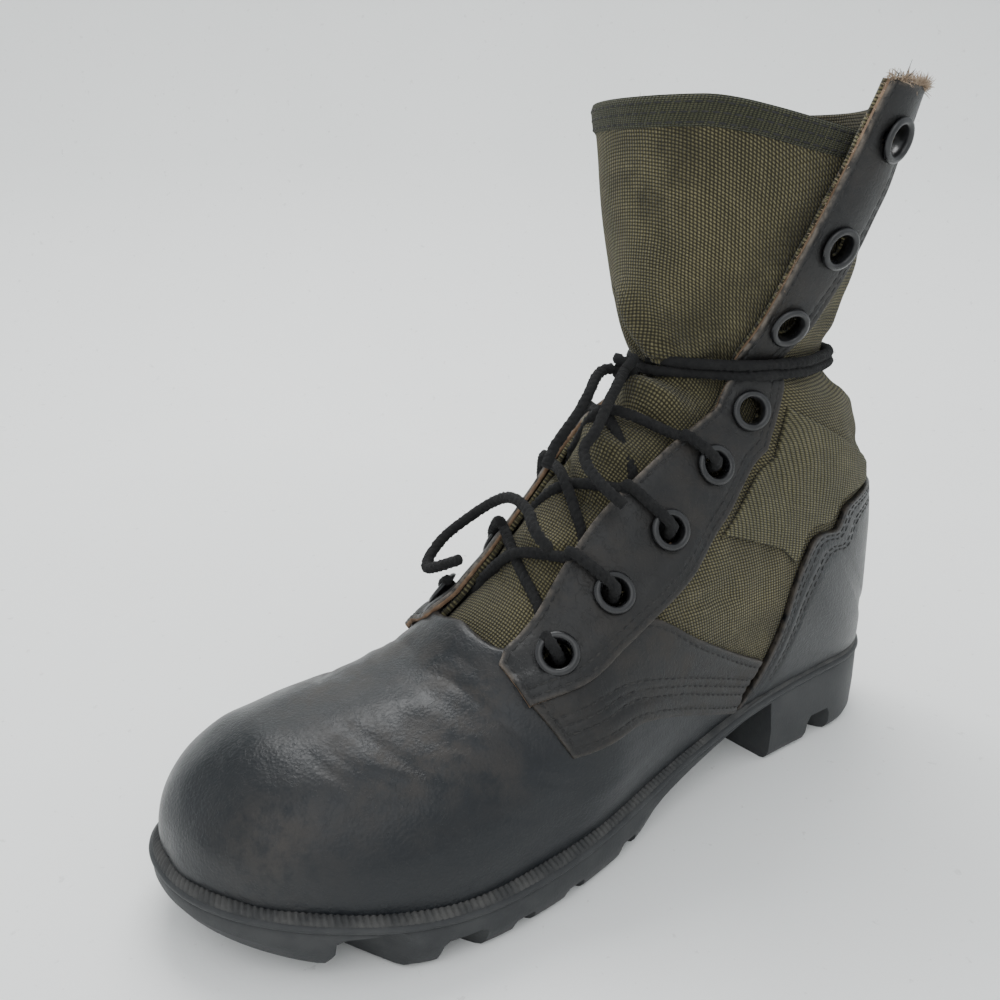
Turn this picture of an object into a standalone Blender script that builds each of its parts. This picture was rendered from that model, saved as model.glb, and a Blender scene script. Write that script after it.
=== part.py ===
"""Left jungle boot: lugged moulded sole, leather vamp and counter, canvas shaft, laced throat with a wide tongue.

Metres, +Z up, toe towards -Y, the wearer's left (outer) side towards +X.
The origin is on the floor under the middle of the heel tread.
"""

import math

import bmesh
import bpy
import numpy as np

# Driving sizes of the sole
SOLE_LENGTH = 0.305
BALL_WIDTH = 0.108
HEEL_CENTRE = 0.038  # from the back of the sole to the origin
BREAST = 0.080  # from the back of the sole to the heel's front face
HEEL_HEIGHT = 0.035  # floor to the rim at the back of the heel
BALL_THICKNESS = 0.0182  # floor to the rim at the ball
TOE_SPRING = 0.010
WAIST_THICKNESS = 0.012
WELT_HEIGHT = 0.0042  # rim strip above the moulded line
WELT_LINE = 0.0011  # depth of the moulded line under the rim strip
TREAD_BEVEL = 0.0022
RIM_FOREFOOT = 0.0058  # how far the rim stands out past the upper
RIM_HEEL = 0.0036
HEEL_ROUND = 0.040
TOE_ROUND = 0.088
TOE_BLUNT = 2.25  # power of the toe's rounding: 2 is an ellipse, more is blunter

# Driving size of the tread
SPINE_HALF = 0.0065  # half of the plain strip along the tread's middle

# Driving sizes of the upper
SHAFT_HEIGHT = 0.208  # heel seat to the back of the collar
WALL = 0.0018  # canvas and lining
LEATHER = 0.0019
WEBBING = 0.0013
SEAT_GAP = 0.0003  # between pieces that lie on each other
FACET_ROOM = 0.0005  # more room over the upper, whose flat facets stand off its true curve
INSOLE_THICKNESS = 0.0040


def along(rows, x, column=1):
    """A smooth curve through the rows' values in that column, read at x in the first column."""
    xs = [row[0] for row in rows]
    ys = [row[column] for row in rows]
    if x <= xs[0]:
        return ys[0]
    if x >= xs[-1]:
        return ys[-1]
    i = max(k for k in range(len(xs) - 1) if xs[k] <= x)
    slopes = [(ys[k + 1] - ys[k]) / (xs[k + 1] - xs[k]) for k in range(len(xs) - 1)]

    def tangent(k):
        if k == 0 or k == len(xs) - 1:
            return slopes[min(k, len(slopes) - 1)]
        before, after = xs[k] - xs[k - 1], xs[k + 1] - xs[k]
        return (slopes[k - 1] * after + slopes[k] * before) / (before + after)

    width = xs[i + 1] - xs[i]
    t = (x - xs[i]) / width
    return (
        ys[i] * (1 + 2 * t) * (1 - t) ** 2
        + ys[i + 1] * t * t * (3 - 2 * t)
        + width * (tangent(i) * t * (1 - t) ** 2 - tangent(i + 1) * t * t * (1 - t))
    )


def rounded(distance, radius, power=2.0):
    """How full an outline is at a distance from its tip, from 0 at the tip to 1 at the radius."""
    if distance >= radius:
        return 1.0
    return (1 - (1 - max(distance, 0.0) / radius) ** power) ** (1 / power)


# Outline of the sole's rim: share of the length, shift of the centre line and half width as shares of the ball
OUTLINE = [
    (0.00, 0.000, 0.334),
    (0.13, 0.004, 0.334),
    (0.24, 0.020, 0.322),
    (0.34, 0.046, 0.308),
    (0.44, 0.062, 0.318),
    (0.53, 0.056, 0.374),
    (0.62, 0.036, 0.446),
    (0.71, 0.008, 0.496),
    (0.80, -0.020, 0.512),
    (0.90, -0.058, 0.505),
    (1.00, -0.100, 0.500),
]
# Side profile of the rim: share of the length, share of the heel height, share of the ball thickness, toe spring
RIM = [
    (0.00, 1.02, 0.0, 0.0),
    (0.15, 1.00, 0.0, 0.0),
    (0.30, 0.90, 0.0, 0.0),
    (0.42, 0.46, 0.5, 0.0),
    (0.55, 0.08, 0.94, 0.0),
    (0.68, 0.0, 1.0, 0.0),
    (0.80, 0.0, 1.0, 0.10),
    (0.90, 0.0, 1.02, 0.45),
    (1.00, 0.0, 1.03, 0.90),
]
# Side profile of the tread in front of the heel: share of the length, share of the waist's gap, toe spring
TREAD = [
    (0.00, 1.0, 0.0),
    (0.44, 1.0, 0.0),
    (0.48, 0.80, 0.0),
    (0.52, 0.22, 0.0),
    (0.56, 0.0, 0.0),
    (0.81, 0.0, 0.0),
    (0.90, 0.0, 0.30),
    (1.00, 0.0, 1.15),
]


def rim_height(s):
    share = s / SOLE_LENGTH
    return (
        along(RIM, share, 1) * HEEL_HEIGHT
        + along(RIM, share, 2) * BALL_THICKNESS
        + along(RIM, share, 3) * TOE_SPRING
    )


def tread_height(s):
    if s <= BREAST:
        return 0.0
    share = s / SOLE_LENGTH
    gap = rim_height(s) - WAIST_THICKNESS
    return max(along(TREAD, share, 1) * gap, 0.0) + max(along(TREAD, share, 2), 0.0) * TOE_SPRING


def rim_inset(s):
    return RIM_HEEL + (RIM_FOREFOOT - RIM_HEEL) * min(max((s / SOLE_LENGTH - 0.2) / 0.4, 0), 1)


def outline(s, inset=0.0):
    """Centre line and half width of the sole's outline at s, brought in by the inset."""
    share = s / SOLE_LENGTH
    length = SOLE_LENGTH - 2 * inset
    at = s - inset
    half = along(OUTLINE, share, 2) * BALL_WIDTH - inset
    half *= rounded(at, HEEL_ROUND - inset) * rounded(length - at, TOE_ROUND - inset, TOE_BLUNT)
    return along(OUTLINE, share, 1) * BALL_WIDTH, half


FEATHER_BACK = RIM_HEEL
FEATHER_TOE = SOLE_LENGTH - RIM_FOREFOOT


def feather(s):
    """Centre line, half width and height of the line where the upper meets the sole."""
    inset = rim_inset(s)
    share = s / SOLE_LENGTH
    half = along(OUTLINE, share, 2) * BALL_WIDTH - inset
    half *= rounded(s - FEATHER_BACK, HEEL_ROUND - inset)
    half *= rounded(FEATHER_TOE - s, TOE_ROUND - inset, TOE_BLUNT)
    return along(OUTLINE, share, 1) * BALL_WIDTH, half, rim_height(s)


# Sections of the upper, fanned from the toe round the heel to the collar.
# Each runs from its foot, on the feather line or the back seam, to its ridge on the front.
# Shares of the sole length: foot, ridge reach. Shares of the shaft height: rise of the foot, height of the ridge.
# Shares of the ball width: half widths, outer and inner side. Then the fullness low down and at the ridge,
# and how far the ridge follows the centre line of the sole.
TOE_TABLE_REACH = 0.238  # the toe's sections run from the tip to here
TOE_SECTIONS = 6
TOE_RIDGE = (0.186, 0.204)  # ridge height at the tip, before rounding, and at the toe table's end
TOE_TOP_ROUND = 0.062
TOE_TOP_BLUNT = 2.3
SECTIONS = [
    # foot, rise, reach, ridge, outer, inner, low, peak, follow
    (0.715, 0.00, 0.724, 0.236, 0.000, 0.000, 1.00, 0.92, 0.9),
    (0.646, 0.00, 0.672, 0.282, 0.300, 0.300, 1.00, 0.98, 0.6),
    (0.577, 0.00, 0.622, 0.338, 0.432, 0.352, 1.00, 1.04, 0.3),
    (0.505, 0.00, 0.573, 0.400, 0.408, 0.330, 1.00, 1.08, 0.1),
    (0.430, 0.00, 0.526, 0.457, 0.384, 0.322, 1.00, 1.08, 0.0),
    (0.350, 0.00, 0.487, 0.498, 0.370, 0.328, 1.00, 1.04, 0.0),
    (0.269, 0.00, 0.453, 0.527, 0.362, 0.336, 1.00, 1.00, 0.0),
    (0.184, 0.00, 0.426, 0.547, 0.360, 0.345, 0.98, 0.97, 0.0),
    (0.105, 0.00, 0.405, 0.561, 0.361, 0.350, 0.95, 0.95, 0.0),
    (0.044, 0.00, 0.391, 0.570, 0.360, 0.350, 0.92, 0.93, 0.0),
    (0.012, 0.02, 0.382, 0.576, 0.356, 0.347, 0.90, 0.92, 0.0),
    (0.010, 0.13, 0.375, 0.581, 0.350, 0.341, 0.90, 0.92, 0.0),
    (0.016, 0.25, 0.370, 0.586, 0.342, 0.333, 0.90, 0.92, 0.0),
    (0.030, 0.36, 0.367, 0.591, 0.334, 0.325, 0.90, 0.92, 0.0),
    (0.062, 0.46, 0.366, 0.597, 0.320, 0.312, 0.90, 0.92, 0.0),
    (0.120, 0.56, 0.367, 0.610, 0.264, 0.260, 0.90, 0.92, 0.0),
    (0.120, 0.64, 0.369, 0.672, 0.292, 0.284, 0.90, 0.92, 0.0),
    (0.106, 0.75, 0.373, 0.772, 0.322, 0.312, 0.90, 0.92, 0.0),
    (0.091, 0.87, 0.376, 0.895, 0.350, 0.338, 0.90, 0.92, 0.0),
    (0.078, 1.00, 0.380, 1.036, 0.372, 0.356, 0.90, 0.92, 0.0),
]


def section_rows():
    """All sections in real sizes, the toe's first, with the ridge height above the feather line."""
    rows = []
    for i in range(TOE_SECTIONS):
        reach = FEATHER_TOE - (FEATHER_TOE - TOE_TABLE_REACH) * (i / TOE_SECTIONS) ** 2
        t = i / TOE_SECTIONS
        ridge = (TOE_RIDGE[0] * (1 - t) + TOE_RIDGE[1] * t) * SHAFT_HEIGHT
        rows.append((reach, 0.0, reach, ridge, 0.0, 0.0, 1.0, 0.86, 1.0))
    for foot, rise, reach, ridge, outer, inner, low, peak, follow in SECTIONS:
        rows.append((
            foot * SOLE_LENGTH, rise * SHAFT_HEIGHT, reach * SOLE_LENGTH, ridge * SHAFT_HEIGHT,
            outer * BALL_WIDTH, inner * BALL_WIDTH, low, peak, follow,
        ))
    return np.array(rows)


ROWS = section_rows()
LAST_ROW = len(ROWS) - 1


def read_section(u):
    """The section at u, in rows counted from the toe, by a smooth curve through the rows."""
    u = min(max(u, 0.0), float(LAST_ROW))
    i = min(int(u), LAST_ROW - 1)
    t = u - i
    a = ROWS[i]
    b = ROWS[i + 1]
    before = ROWS[i - 1] if i > 0 else 2 * a - b
    after = ROWS[i + 2] if i + 2 <= LAST_ROW else 2 * b - a
    return 0.5 * (
        2 * a + (b - before) * t
        + (2 * before - 5 * a + 4 * b - after) * t * t
        + (3 * a - before - 3 * b + after) * t ** 3
    )


WIDEN = 1.03  # how much wider than its feather line a toe section is
SEAM_START = 0.004  # above the sole, where both sides have met in the back seam
SIDES = {"outer": 1, "inner": -1}


def section_frame(u, side):
    """Foot point, ridge point, half width, first angle and powers of the section at u on one side."""
    foot, rise, reach, ridge, outer, inner, low, peak, follow = read_section(u)
    foot = min(max(foot, FEATHER_BACK), FEATHER_TOE)
    rise = max(rise, 0.0)
    centre, half, height = feather(foot)
    edge = max(half + SIDES[side] * centre, 0.0) if half > 0 else 0.0
    if u <= 6:
        edge = half
    table = outer if side == "outer" else inner
    shift = centre
    if u > 6:
        fade = min((u - 6) / 2, 1.0)
        shift = centre * (1 - fade)
        edge = half + SIDES[side] * (centre - shift)
    edge *= min(half / 0.002, 1.0) * max(1 - rise / SEAM_START, 0.0)
    width = ((WIDEN * edge) ** 8 + max(table, 0.0) ** 8) ** 0.125
    share = min(edge / width, 1.0) if width > 0 else 1.0
    first = math.asin(share ** (1 / low)) if share < 1 else math.pi / 2
    top = rounded(FEATHER_TOE - foot, TOE_TOP_ROUND, TOE_TOP_BLUNT)
    base = np.array((shift, foot, height + rise))
    tip = np.array((along(OUTLINE, reach / SOLE_LENGTH, 1) * BALL_WIDTH * follow, reach, height + ridge * top))
    if rise > 0:
        base[2] = rim_height(FEATHER_BACK) + rise
        tip[2] = rim_height(FEATHER_BACK) + ridge
    return base, tip, width, first, low, peak


# The flaps of the shaft stand open above the lace that is wound round the ankle
WRAP_HEIGHT = HEEL_HEIGHT + 0.5817 * SHAFT_HEIGHT
FLAP_OUT = {"outer": 0.023, "inner": 0.013}  # at the collar, sideways
FLAP_BACK = {"outer": 0.012, "inner": 0.007}  # at the collar, towards the heel


def form(u, a, side):
    """A point of the upper's outer form: x, s and z at section u, a from 0 at the foot to 1 at the ridge."""
    base, tip, width, first, low, peak = section_frame(u, side)
    angle = first + (math.pi - first) * a
    rise = (math.cos(first) - math.cos(angle)) / (math.cos(first) + 1)
    power = low if angle < math.pi / 2 else peak
    out = width * max(math.sin(angle), 0.0) ** power
    point = base + (tip - base) * rise
    point[0] += SIDES[side] * out
    lift = max(point[2] - WRAP_HEIGHT, 0.0) / (SHAFT_HEIGHT + HEEL_HEIGHT - WRAP_HEIGHT)
    turn = min(max((a - 0.20) / 0.40, 0.0), 1.0)
    turn = turn * turn * (3 - 2 * turn)
    point[0] += SIDES[side] * FLAP_OUT[side] * lift ** 0.75 * turn
    point[1] -= FLAP_BACK[side] * lift ** 1.8 * turn
    return point


# Objects are made from here on
COLOURS = {
    "rubber": ((0.030, 0.031, 0.034), 0.62, 0.0),
    "canvas": ((0.115, 0.105, 0.062), 0.92, 0.0),
    "leather": ((0.034, 0.036, 0.042), 0.50, 0.0),
    "worn_leather": ((0.052, 0.049, 0.048), 0.58, 0.0),
    "webbing": ((0.100, 0.094, 0.058), 0.93, 0.0),
    "tape": ((0.070, 0.070, 0.040), 0.92, 0.0),
    "enamel": ((0.012, 0.012, 0.014), 0.28, 0.6),
    "insole_fabric": ((0.090, 0.085, 0.066), 0.95, 0.0),
    "lace_cord": ((0.022, 0.022, 0.022), 0.94, 0.0),
}


def material(name):
    made = bpy.data.materials.get(name)
    if made:
        return made
    made = bpy.data.materials.new(name)
    made.use_nodes = True
    shader = made.node_tree.nodes["Principled BSDF"]
    colour, roughness, metallic = COLOURS[name]
    shader.inputs["Base Color"].default_value = (*colour, 1.0)
    shader.inputs["Roughness"].default_value = roughness
    shader.inputs["Metallic"].default_value = metallic
    return made


def clear_scene():
    for item in list(bpy.data.objects):
        bpy.data.objects.remove(item, do_unlink=True)


def collection(name):
    made = bpy.data.collections.get(name)
    if not made:
        made = bpy.data.collections.new(name)
        bpy.context.scene.collection.children.link(made)
    return made


def place(name, bm, finish, group="jungle_boot"):
    """Make an object of the mesh, with its faces turned out."""
    bmesh.ops.recalc_face_normals(bm, faces=bm.faces)
    mesh = bpy.data.meshes.new(name)
    bm.to_mesh(mesh)
    bm.free()
    made = bpy.data.objects.new(name, mesh)
    made.data.materials.append(material(finish))
    collection(group).objects.link(made)
    return made


def world(point):
    """From the form's x, s and z to world coordinates."""
    return (point[0], HEEL_CENTRE - point[1], point[2])


def loft(bm, rings, closed=True):
    """Quads between rings of equal length, which are lists of world points."""
    made = [[bm.verts.new(p) for p in ring] for ring in rings]
    count = len(rings[0])
    for lower, upper in zip(made, made[1:]):
        for i in range(count if closed else count - 1):
            j = (i + 1) % count
            bm.faces.new((lower[i], lower[j], upper[j], upper[i]))
    return made


def ladder(bm, ring, flip=False):
    """Close a ring that runs up one side and back down the other with quads straight across."""
    half = len(ring) // 2
    for i in range(half):
        quad = [ring[i], ring[i + 1], ring[-i - 1], ring[-i]] if i else [ring[0], ring[1], ring[-1]]
        quad = list(dict.fromkeys(quad))
        if len(quad) > 2:
            bm.faces.new(quad[::-1] if flip else quad)


def shell(name, patches, low, high, finish, stand_clear=True):
    """A closed shell on a surface: each patch is a grid of form points, low and high are heights off it.

    Patches whose edges meet are joined. A patch's points run so that its faces look outwards.
    """
    bm = bmesh.new()
    for grid in patches:
        verts = [[bm.verts.new(world(p)) for p in row] for row in grid]
        for r in range(len(verts) - 1):
            for c in range(len(verts[0]) - 1):
                bm.faces.new((verts[r][c], verts[r][c + 1], verts[r + 1][c + 1], verts[r + 1][c]))
    bmesh.ops.remove_doubles(bm, verts=bm.verts, dist=0.00004)
    bm.normal_update()
    bm.verts.ensure_lookup_table()
    bm.verts.index_update()
    points = [v.co.copy() for v in bm.verts]
    normals = [v.normal.copy() for v in bm.verts]
    faces = [[v.index for v in f.verts] for f in bm.faces]
    edges = []
    for edge in bm.edges:
        if len(edge.link_faces) == 1:
            loop = edge.link_loops[0]
            edges.append((loop.vert.index, loop.link_loop_next.vert.index))
    bm.free()
    solid = bmesh.new()

    def layer(distance):
        out = []
        for p, n in zip(points, normals):
            q = p + n * distance
            if stand_clear:
                q.z = max(q.z, rim_height(HEEL_CENTRE - q.y) + SEAT_GAP)
            out.append(solid.verts.new(q))
        return out

    inside, outside = layer(low), layer(high)
    for face in faces:
        solid.faces.new([outside[i] for i in face])
        solid.faces.new([inside[i] for i in reversed(face)])
    for a, b in edges:
        solid.faces.new((outside[b], outside[a], inside[a], inside[b]))
    return place(name, solid, finish)


def tube(name, path, radius, finish):
    """A round cord along world points."""
    curve = bpy.data.curves.new(name, "CURVE")
    curve.dimensions = "3D"
    curve.bevel_depth = radius
    curve.bevel_resolution = 1
    curve.use_fill_caps = True
    spline = curve.splines.new("POLY")
    spline.points.add(len(path) - 1)
    for point, at in zip(spline.points, path):
        point.co = (*at, 1.0)
    made = bpy.data.objects.new(name, curve)
    curve.materials.append(material(finish))
    collection("jungle_boot").objects.link(made)
    return made


# Sole
SOLE_STATIONS = 26


def sole_ring(inset, height):
    """World points up the outer side and back down the inner side, brought in by the inset."""
    length = SOLE_LENGTH - 2 * inset
    stations = [inset + length * (1 - math.cos(math.pi * i / SOLE_STATIONS)) / 2 for i in range(SOLE_STATIONS + 1)]
    near = [s for s in stations if abs(s - BREAST) > 0.004]
    stations = sorted(near + [BREAST, BREAST + 0.0016])
    outer, inner = [], []
    for s in stations:
        centre, half = outline(s, inset)
        outer.append(world((centre + half, s, height(s))))
        if 0 < len(outer) <= len(stations) and s not in (stations[0], stations[-1]):
            inner.append(world((centre - half, s, height(s))))
    return outer + inner[::-1]


def make_outsole():
    bm = bmesh.new()
    groove = WELT_HEIGHT + 0.0014
    rings = loft(bm, [
        sole_ring(TREAD_BEVEL, tread_height),
        sole_ring(0.0006, lambda s: tread_height(s) + TREAD_BEVEL),
        sole_ring(0.0, lambda s: rim_height(s) - groove - WELT_LINE * 0.6),
        sole_ring(WELT_LINE, lambda s: rim_height(s) - groove),
        sole_ring(WELT_LINE, lambda s: rim_height(s) - WELT_HEIGHT),
        sole_ring(0.0, lambda s: rim_height(s) - WELT_HEIGHT + 0.0008),
        sole_ring(0.0, lambda s: rim_height(s) - 0.0010),
        sole_ring(0.0010, rim_height),
    ])
    ladder(bm, rings[0], flip=True)
    ladder(bm, rings[-1])
    sole = place("outsole", bm, "rubber")
    cut_channels(sole)
    return sole


# Channels across the tread: place along the sole, width, both as shares of the length, and degrees of slant
CHANNELS = [
    (0.845, 0.036, 30),
    (0.742, 0.030, 27),
    (0.632, 0.030, 24),
    (0.534, 0.030, 20),
    (0.165, 0.034, 24),
    (0.070, 0.030, 30),
]
CHANNEL_DEPTH = {True: 0.0085, False: 0.0062}  # in the heel and in the forefoot


def channel_cutter(s, width, slant, side):
    """A bar that cuts one channel from the plain strip along the middle out past the edge."""
    centre, half = outline(s)
    in_heel = s < BREAST
    depth = CHANNEL_DEPTH[in_heel]
    lift = max(tread_height(s - 0.012), tread_height(s + 0.012), tread_height(s)) if not in_heel else 0.0
    turn = math.radians(slant) * side
    start = centre + side * SPINE_HALF
    reach = half - SPINE_HALF + 0.030
    bm = bmesh.new()
    lower, upper = -0.02, lift + depth
    corners = []
    for along_x, along_s in ((0.0, -0.5), (reach, -0.5), (reach, 0.5), (0.0, 0.5)):
        dx = side * along_x * math.cos(turn)
        ds = -abs(math.sin(turn)) * along_x
        corners.append((start + dx, s + ds + 0.35 * half * abs(math.sin(turn)) + along_s * width))
    rings = [[world((x, at, z)) for x, at in corners] for z in (lower, upper)]
    made = loft(bm, rings)
    bm.faces.new(made[0][::-1])
    bm.faces.new(made[1])
    cutter = place("cut_channel", bm, "rubber", "cutters")
    cutter.hide_render = True
    cutter.display_type = "WIRE"
    return cutter


def cut_channels(sole):
    for share, width, slant in CHANNELS:
        for side in (1, -1):
            cutter = channel_cutter(share * SOLE_LENGTH, width * SOLE_LENGTH, slant, side)
            cut = sole.modifiers.new("channel", "BOOLEAN")
            cut.operation = "DIFFERENCE"
            cut.solver = "EXACT"
            cut.object = cutter


def make_insole():
    """A flat board and sock inside the upper, over the sole."""
    inset = RIM_FOREFOOT + WALL + 0.0022

    def ring(extra, height):
        return sole_ring(inset + extra, lambda s: rim_height(s) + height)

    bm = bmesh.new()
    rings = loft(bm, [ring(0.0, SEAT_GAP), ring(0.0, INSOLE_THICKNESS - 0.001), ring(0.0012, INSOLE_THICKNESS)])
    ladder(bm, rings[0], flip=True)
    ladder(bm, rings[-1])
    return place("insole", bm, "insole_fabric")


# Edges of the panels: section row and share up the section, the same on both sides unless told apart
THROAT_ROW = 7.4  # bottom of the throat
THROAT_EDGE = [
    # row, outer, inner
    (7.4, 0.770, 0.790),
    (8.8, 0.785, 0.800),
    (9.9, 0.780, 0.800),
    (11.5, 0.748, 0.780),
    (13.3, 0.742, 0.770),
    (16.8, 0.812, 0.765),
    (19.3, 0.790, 0.732),
    (21.3, 0.738, 0.690),
    (23.1, 0.695, 0.650),
    (25.0, 0.660, 0.620),
]
EYESTAY_REAR = [
    (7.2, 0.560, 0.560),
    (8.8, 0.500, 0.500),
    (10.8, 0.470, 0.470),
    (12.1, 0.505, 0.490),
    (14.1, 0.583, 0.530),
    (18.0, 0.672, 0.560),
    (20.0, 0.635, 0.510),
    (21.8, 0.557, 0.430),
    (23.2, 0.480, 0.370),
    (25.0, 0.415, 0.330),
]
SADDLE_TOP = [
    (7.15, 0.535),
    (8.0, 0.510),
    (8.8, 0.470),
    (9.8, 0.390),
    (10.6, 0.310),
    (11.4, 0.195),
    (11.9, 0.130),
]
SADDLE_LOW = [
    (7.45, 0.350),
    (8.5, 0.320),
    (9.7, 0.200),
    (10.5, 0.100),
    (11.1, 0.020),
]
# Rear edge of the vamp: share up the section, row
VAMP_REAR = [
    (0.00, 10.75),
    (0.09, 10.10),
    (0.18, 9.25),
    (0.26, 8.40),
    (0.31, 7.70),
    (0.36, 7.25),
    (0.50, 7.04),
    (0.62, 6.95),
    (0.76, 6.98),
    (0.84, 7.24),
    (1.00, 7.30),
]
COUNTER_EDGE = [
    # row, share
    (11.55, 0.000),
    (12.0, 0.110),
    (13.1, 0.270),
    (14.4, 0.370),
    (16.3, 0.465),
    (17.3, 0.415),
    (18.2, 0.270),
    (18.6, 0.130),
    (18.8, 0.000),
]
PATCH_LOW = [
    (12.0, 0.470),
    (13.4, 0.355),
]
PATCH_TOP_ROW = 18.75
BACKSTAY_HALF = 0.0095
BINDING_ROW = 24.55
EYESTAY_LIFT = 0.0001  # more room over the canvas where the flaps turn out
PANEL_GAP = 0.022  # between neighbouring panels, as a share of the section


def climb(u, a, side):
    """How far up from the foot to the ridge share a of section u stands."""
    first = section_frame(u, side)[3]
    angle = first + (math.pi - first) * a
    return (math.cos(first) - math.cos(angle)) / (math.cos(first) + 1)


def seam_line(rows, u, side, column=1):
    """The share at section u of a smooth seam through the rows' sections and shares."""
    first = section_frame(u, side)[3]
    up = along([(row[0], climb(row[0], row[column], side)) for row in rows], u)
    angle = math.acos(max(min(math.cos(first) - up * (math.cos(first) + 1), 1.0), -1.0))
    return max((angle - first) / (math.pi - first), 0.0)


def throat_edge(u, side):
    return seam_line(THROAT_EDGE, u, side, 1 if side == "outer" else 2)


def eyestay_rear(u, side):
    return seam_line(EYESTAY_REAR, u, side, 1 if side == "outer" else 2)


def counter_edge(u, side):
    return seam_line(COUNTER_EDGE, u, side)


def spread(first, last, count, ease=1.0):
    """Evenly spaced values, or closer together at the first where ease is over 1."""
    return [first + (last - first) * (i / count) ** ease for i in range(count + 1)]


def turned(grid, side):
    """The grid with its faces looking outwards on either side."""
    return grid if side == "outer" else [row[::-1] for row in grid]


def strip(side, rows, low_edge, high_edge, columns, ease=1.0):
    """A grid between two edges that are functions of the row."""
    grid = []
    for u in rows:
        start, end = low_edge(u), high_edge(u)
        grid.append([form(u, a, side) for a in spread(start, end, columns, ease)])
    return turned(grid, side)


def between(side, low_edge, high_edge, steps, columns):
    """A grid between two edges that are tables of row and share, each read from start to end at the steps."""
    grid = []
    for t in steps:
        u_low = low_edge[0][0] + (low_edge[-1][0] - low_edge[0][0]) * t
        u_high = high_edge[0][0] + (high_edge[-1][0] - high_edge[0][0]) * t
        a_low, a_high = along(low_edge, u_low), along(high_edge, u_high)
        row = []
        for k in spread(0.0, 1.0, columns):
            row.append(form(u_low + (u_high - u_low) * k, a_low + (a_high - a_low) * k, side))
        grid.append(row)
    return turned(grid, side)


EASE = 1.35  # how much closer the grid's lines are near the sole
UPPER_ROWS = (
    [0.0, 0.35, 0.9, 1.7, 2.6, 3.5, 4.4, 5.1, 5.6, 6.1, 6.7, 7.4]
    + [8.1, 8.8, 9.6, 10.4, 11.2, 12.0, 12.8, 13.6, 14.4, 15.0, 15.35, 15.65, 15.85, 16.0, 16.2]
    + [16.7, 17.2, 17.8, 18.4, 18.9, 19.3, 19.7, 20.0, 20.4, 21.0, 22.0, 23.0, 24.0, 25.0]
)


def make_upper():
    """The canvas and lining as one hollow wall, open at the collar, down the throat and underneath."""
    patches = []
    for side in SIDES:
        closed_rows = [u for u in UPPER_ROWS if u <= THROAT_ROW]
        patches.append(strip(side, UPPER_ROWS, lambda u: 0.0, lambda u: throat_edge(max(u, THROAT_ROW), side), 9, 1.15))
        patches.append(strip(side, closed_rows, lambda u: throat_edge(THROAT_ROW, side), lambda u: 1.0, 2))
    return shell("upper", patches, -WALL - FACET_ROOM, -FACET_ROOM, "canvas")


def make_vamp():
    toe_rows = [0.0, 0.35, 0.9, 1.7, 2.6, 3.5, 4.4, 5.1, 5.6, 6.1, 6.6]
    patches = []
    for side in SIDES:
        shares = spread(0.0, 1.0, 14, EASE)
        grid = [[form(u, a, side) for a in shares] for u in toe_rows]
        for t in spread(0.0, 1.0, 4)[1:]:
            grid.append([form(6.6 + (along(VAMP_REAR, a) - 6.6) * t, a, side) for a in shares])
        patches.append(turned(grid, side))
    return shell("vamp", patches, SEAT_GAP, SEAT_GAP + LEATHER, "worn_leather")


def make_counter():
    rows = [11.55, 12.0, 12.8, 13.6, 14.4, 15.0, 15.35, 15.65, 15.85, 16.0, 16.2, 16.7, 17.2, 17.8, 18.4, 18.8]
    patches = [strip(side, rows, lambda u: 0.0, lambda u: counter_edge(u, side), 7) for side in SIDES]
    lift = SEAT_GAP + FACET_ROOM * 0.6
    return shell("counter", patches, lift, lift + LEATHER, "leather")


def facing_front(u, side):
    """The eyestay's front edge: the throat's, brought in at the very bottom."""
    return throat_edge(max(u, THROAT_ROW), side) - 0.03 * max(min((THROAT_ROW - u) / 0.25, 1.0), 0.0)


def make_side_panels(side):
    top = SEAT_GAP + LEATHER
    stations = [7.15, *spread(8.0, 14.4, 8), 15.0, 15.35, 15.65, 15.85, 16.0, 16.2, 16.7, 17.2, 17.8, 18.4]
    stations += [18.9, 19.3, 19.7, 20.0, 20.4, 21.0, 22.0, 23.0, 24.0, LAST_ROW]
    grid = strip(side, stations, lambda u: eyestay_rear(u, side), lambda u: facing_front(u, side), 4)
    shell("eyestay_" + side, [grid], SEAT_GAP + EYESTAY_LIFT, top + EYESTAY_LIFT, "leather")
    steps = spread(0.0, 1.0, 10)
    shell("saddle_" + side, [between(side, SADDLE_LOW, SADDLE_TOP, steps, 3)], SEAT_GAP, top, "worn_leather")
    rows = [12.0, 12.8, 13.6, 14.4, 15.0, 15.35, 15.65, 15.85, 16.2, 16.7, 17.2, 17.8, 18.4, PATCH_TOP_ROW]

    def fore(u):
        return eyestay_rear(u, side) - PANEL_GAP

    def back(u):
        low = along(PATCH_LOW, u) if u < 13.4 else 0.0
        seam = backstay_share(u, side) if u > 17.5 else 0.0
        return min(max(low, counter_edge(u, side), seam) + PANEL_GAP, fore(u))

    shell("ankle_patch_" + side, [strip(side, rows, back, fore, 7)], SEAT_GAP, SEAT_GAP + WEBBING, "webbing")


def backstay_share(u, side):
    """How far up the section half the backstay's width reaches."""
    step = 0.02
    reached, a = 0.0, 0.0
    last = form(u, 0.0, side)
    while reached < BACKSTAY_HALF and a < 0.6:
        a += step
        point = form(u, a, side)
        reached += float(np.linalg.norm(point - last))
        last = point
    return a


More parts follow.
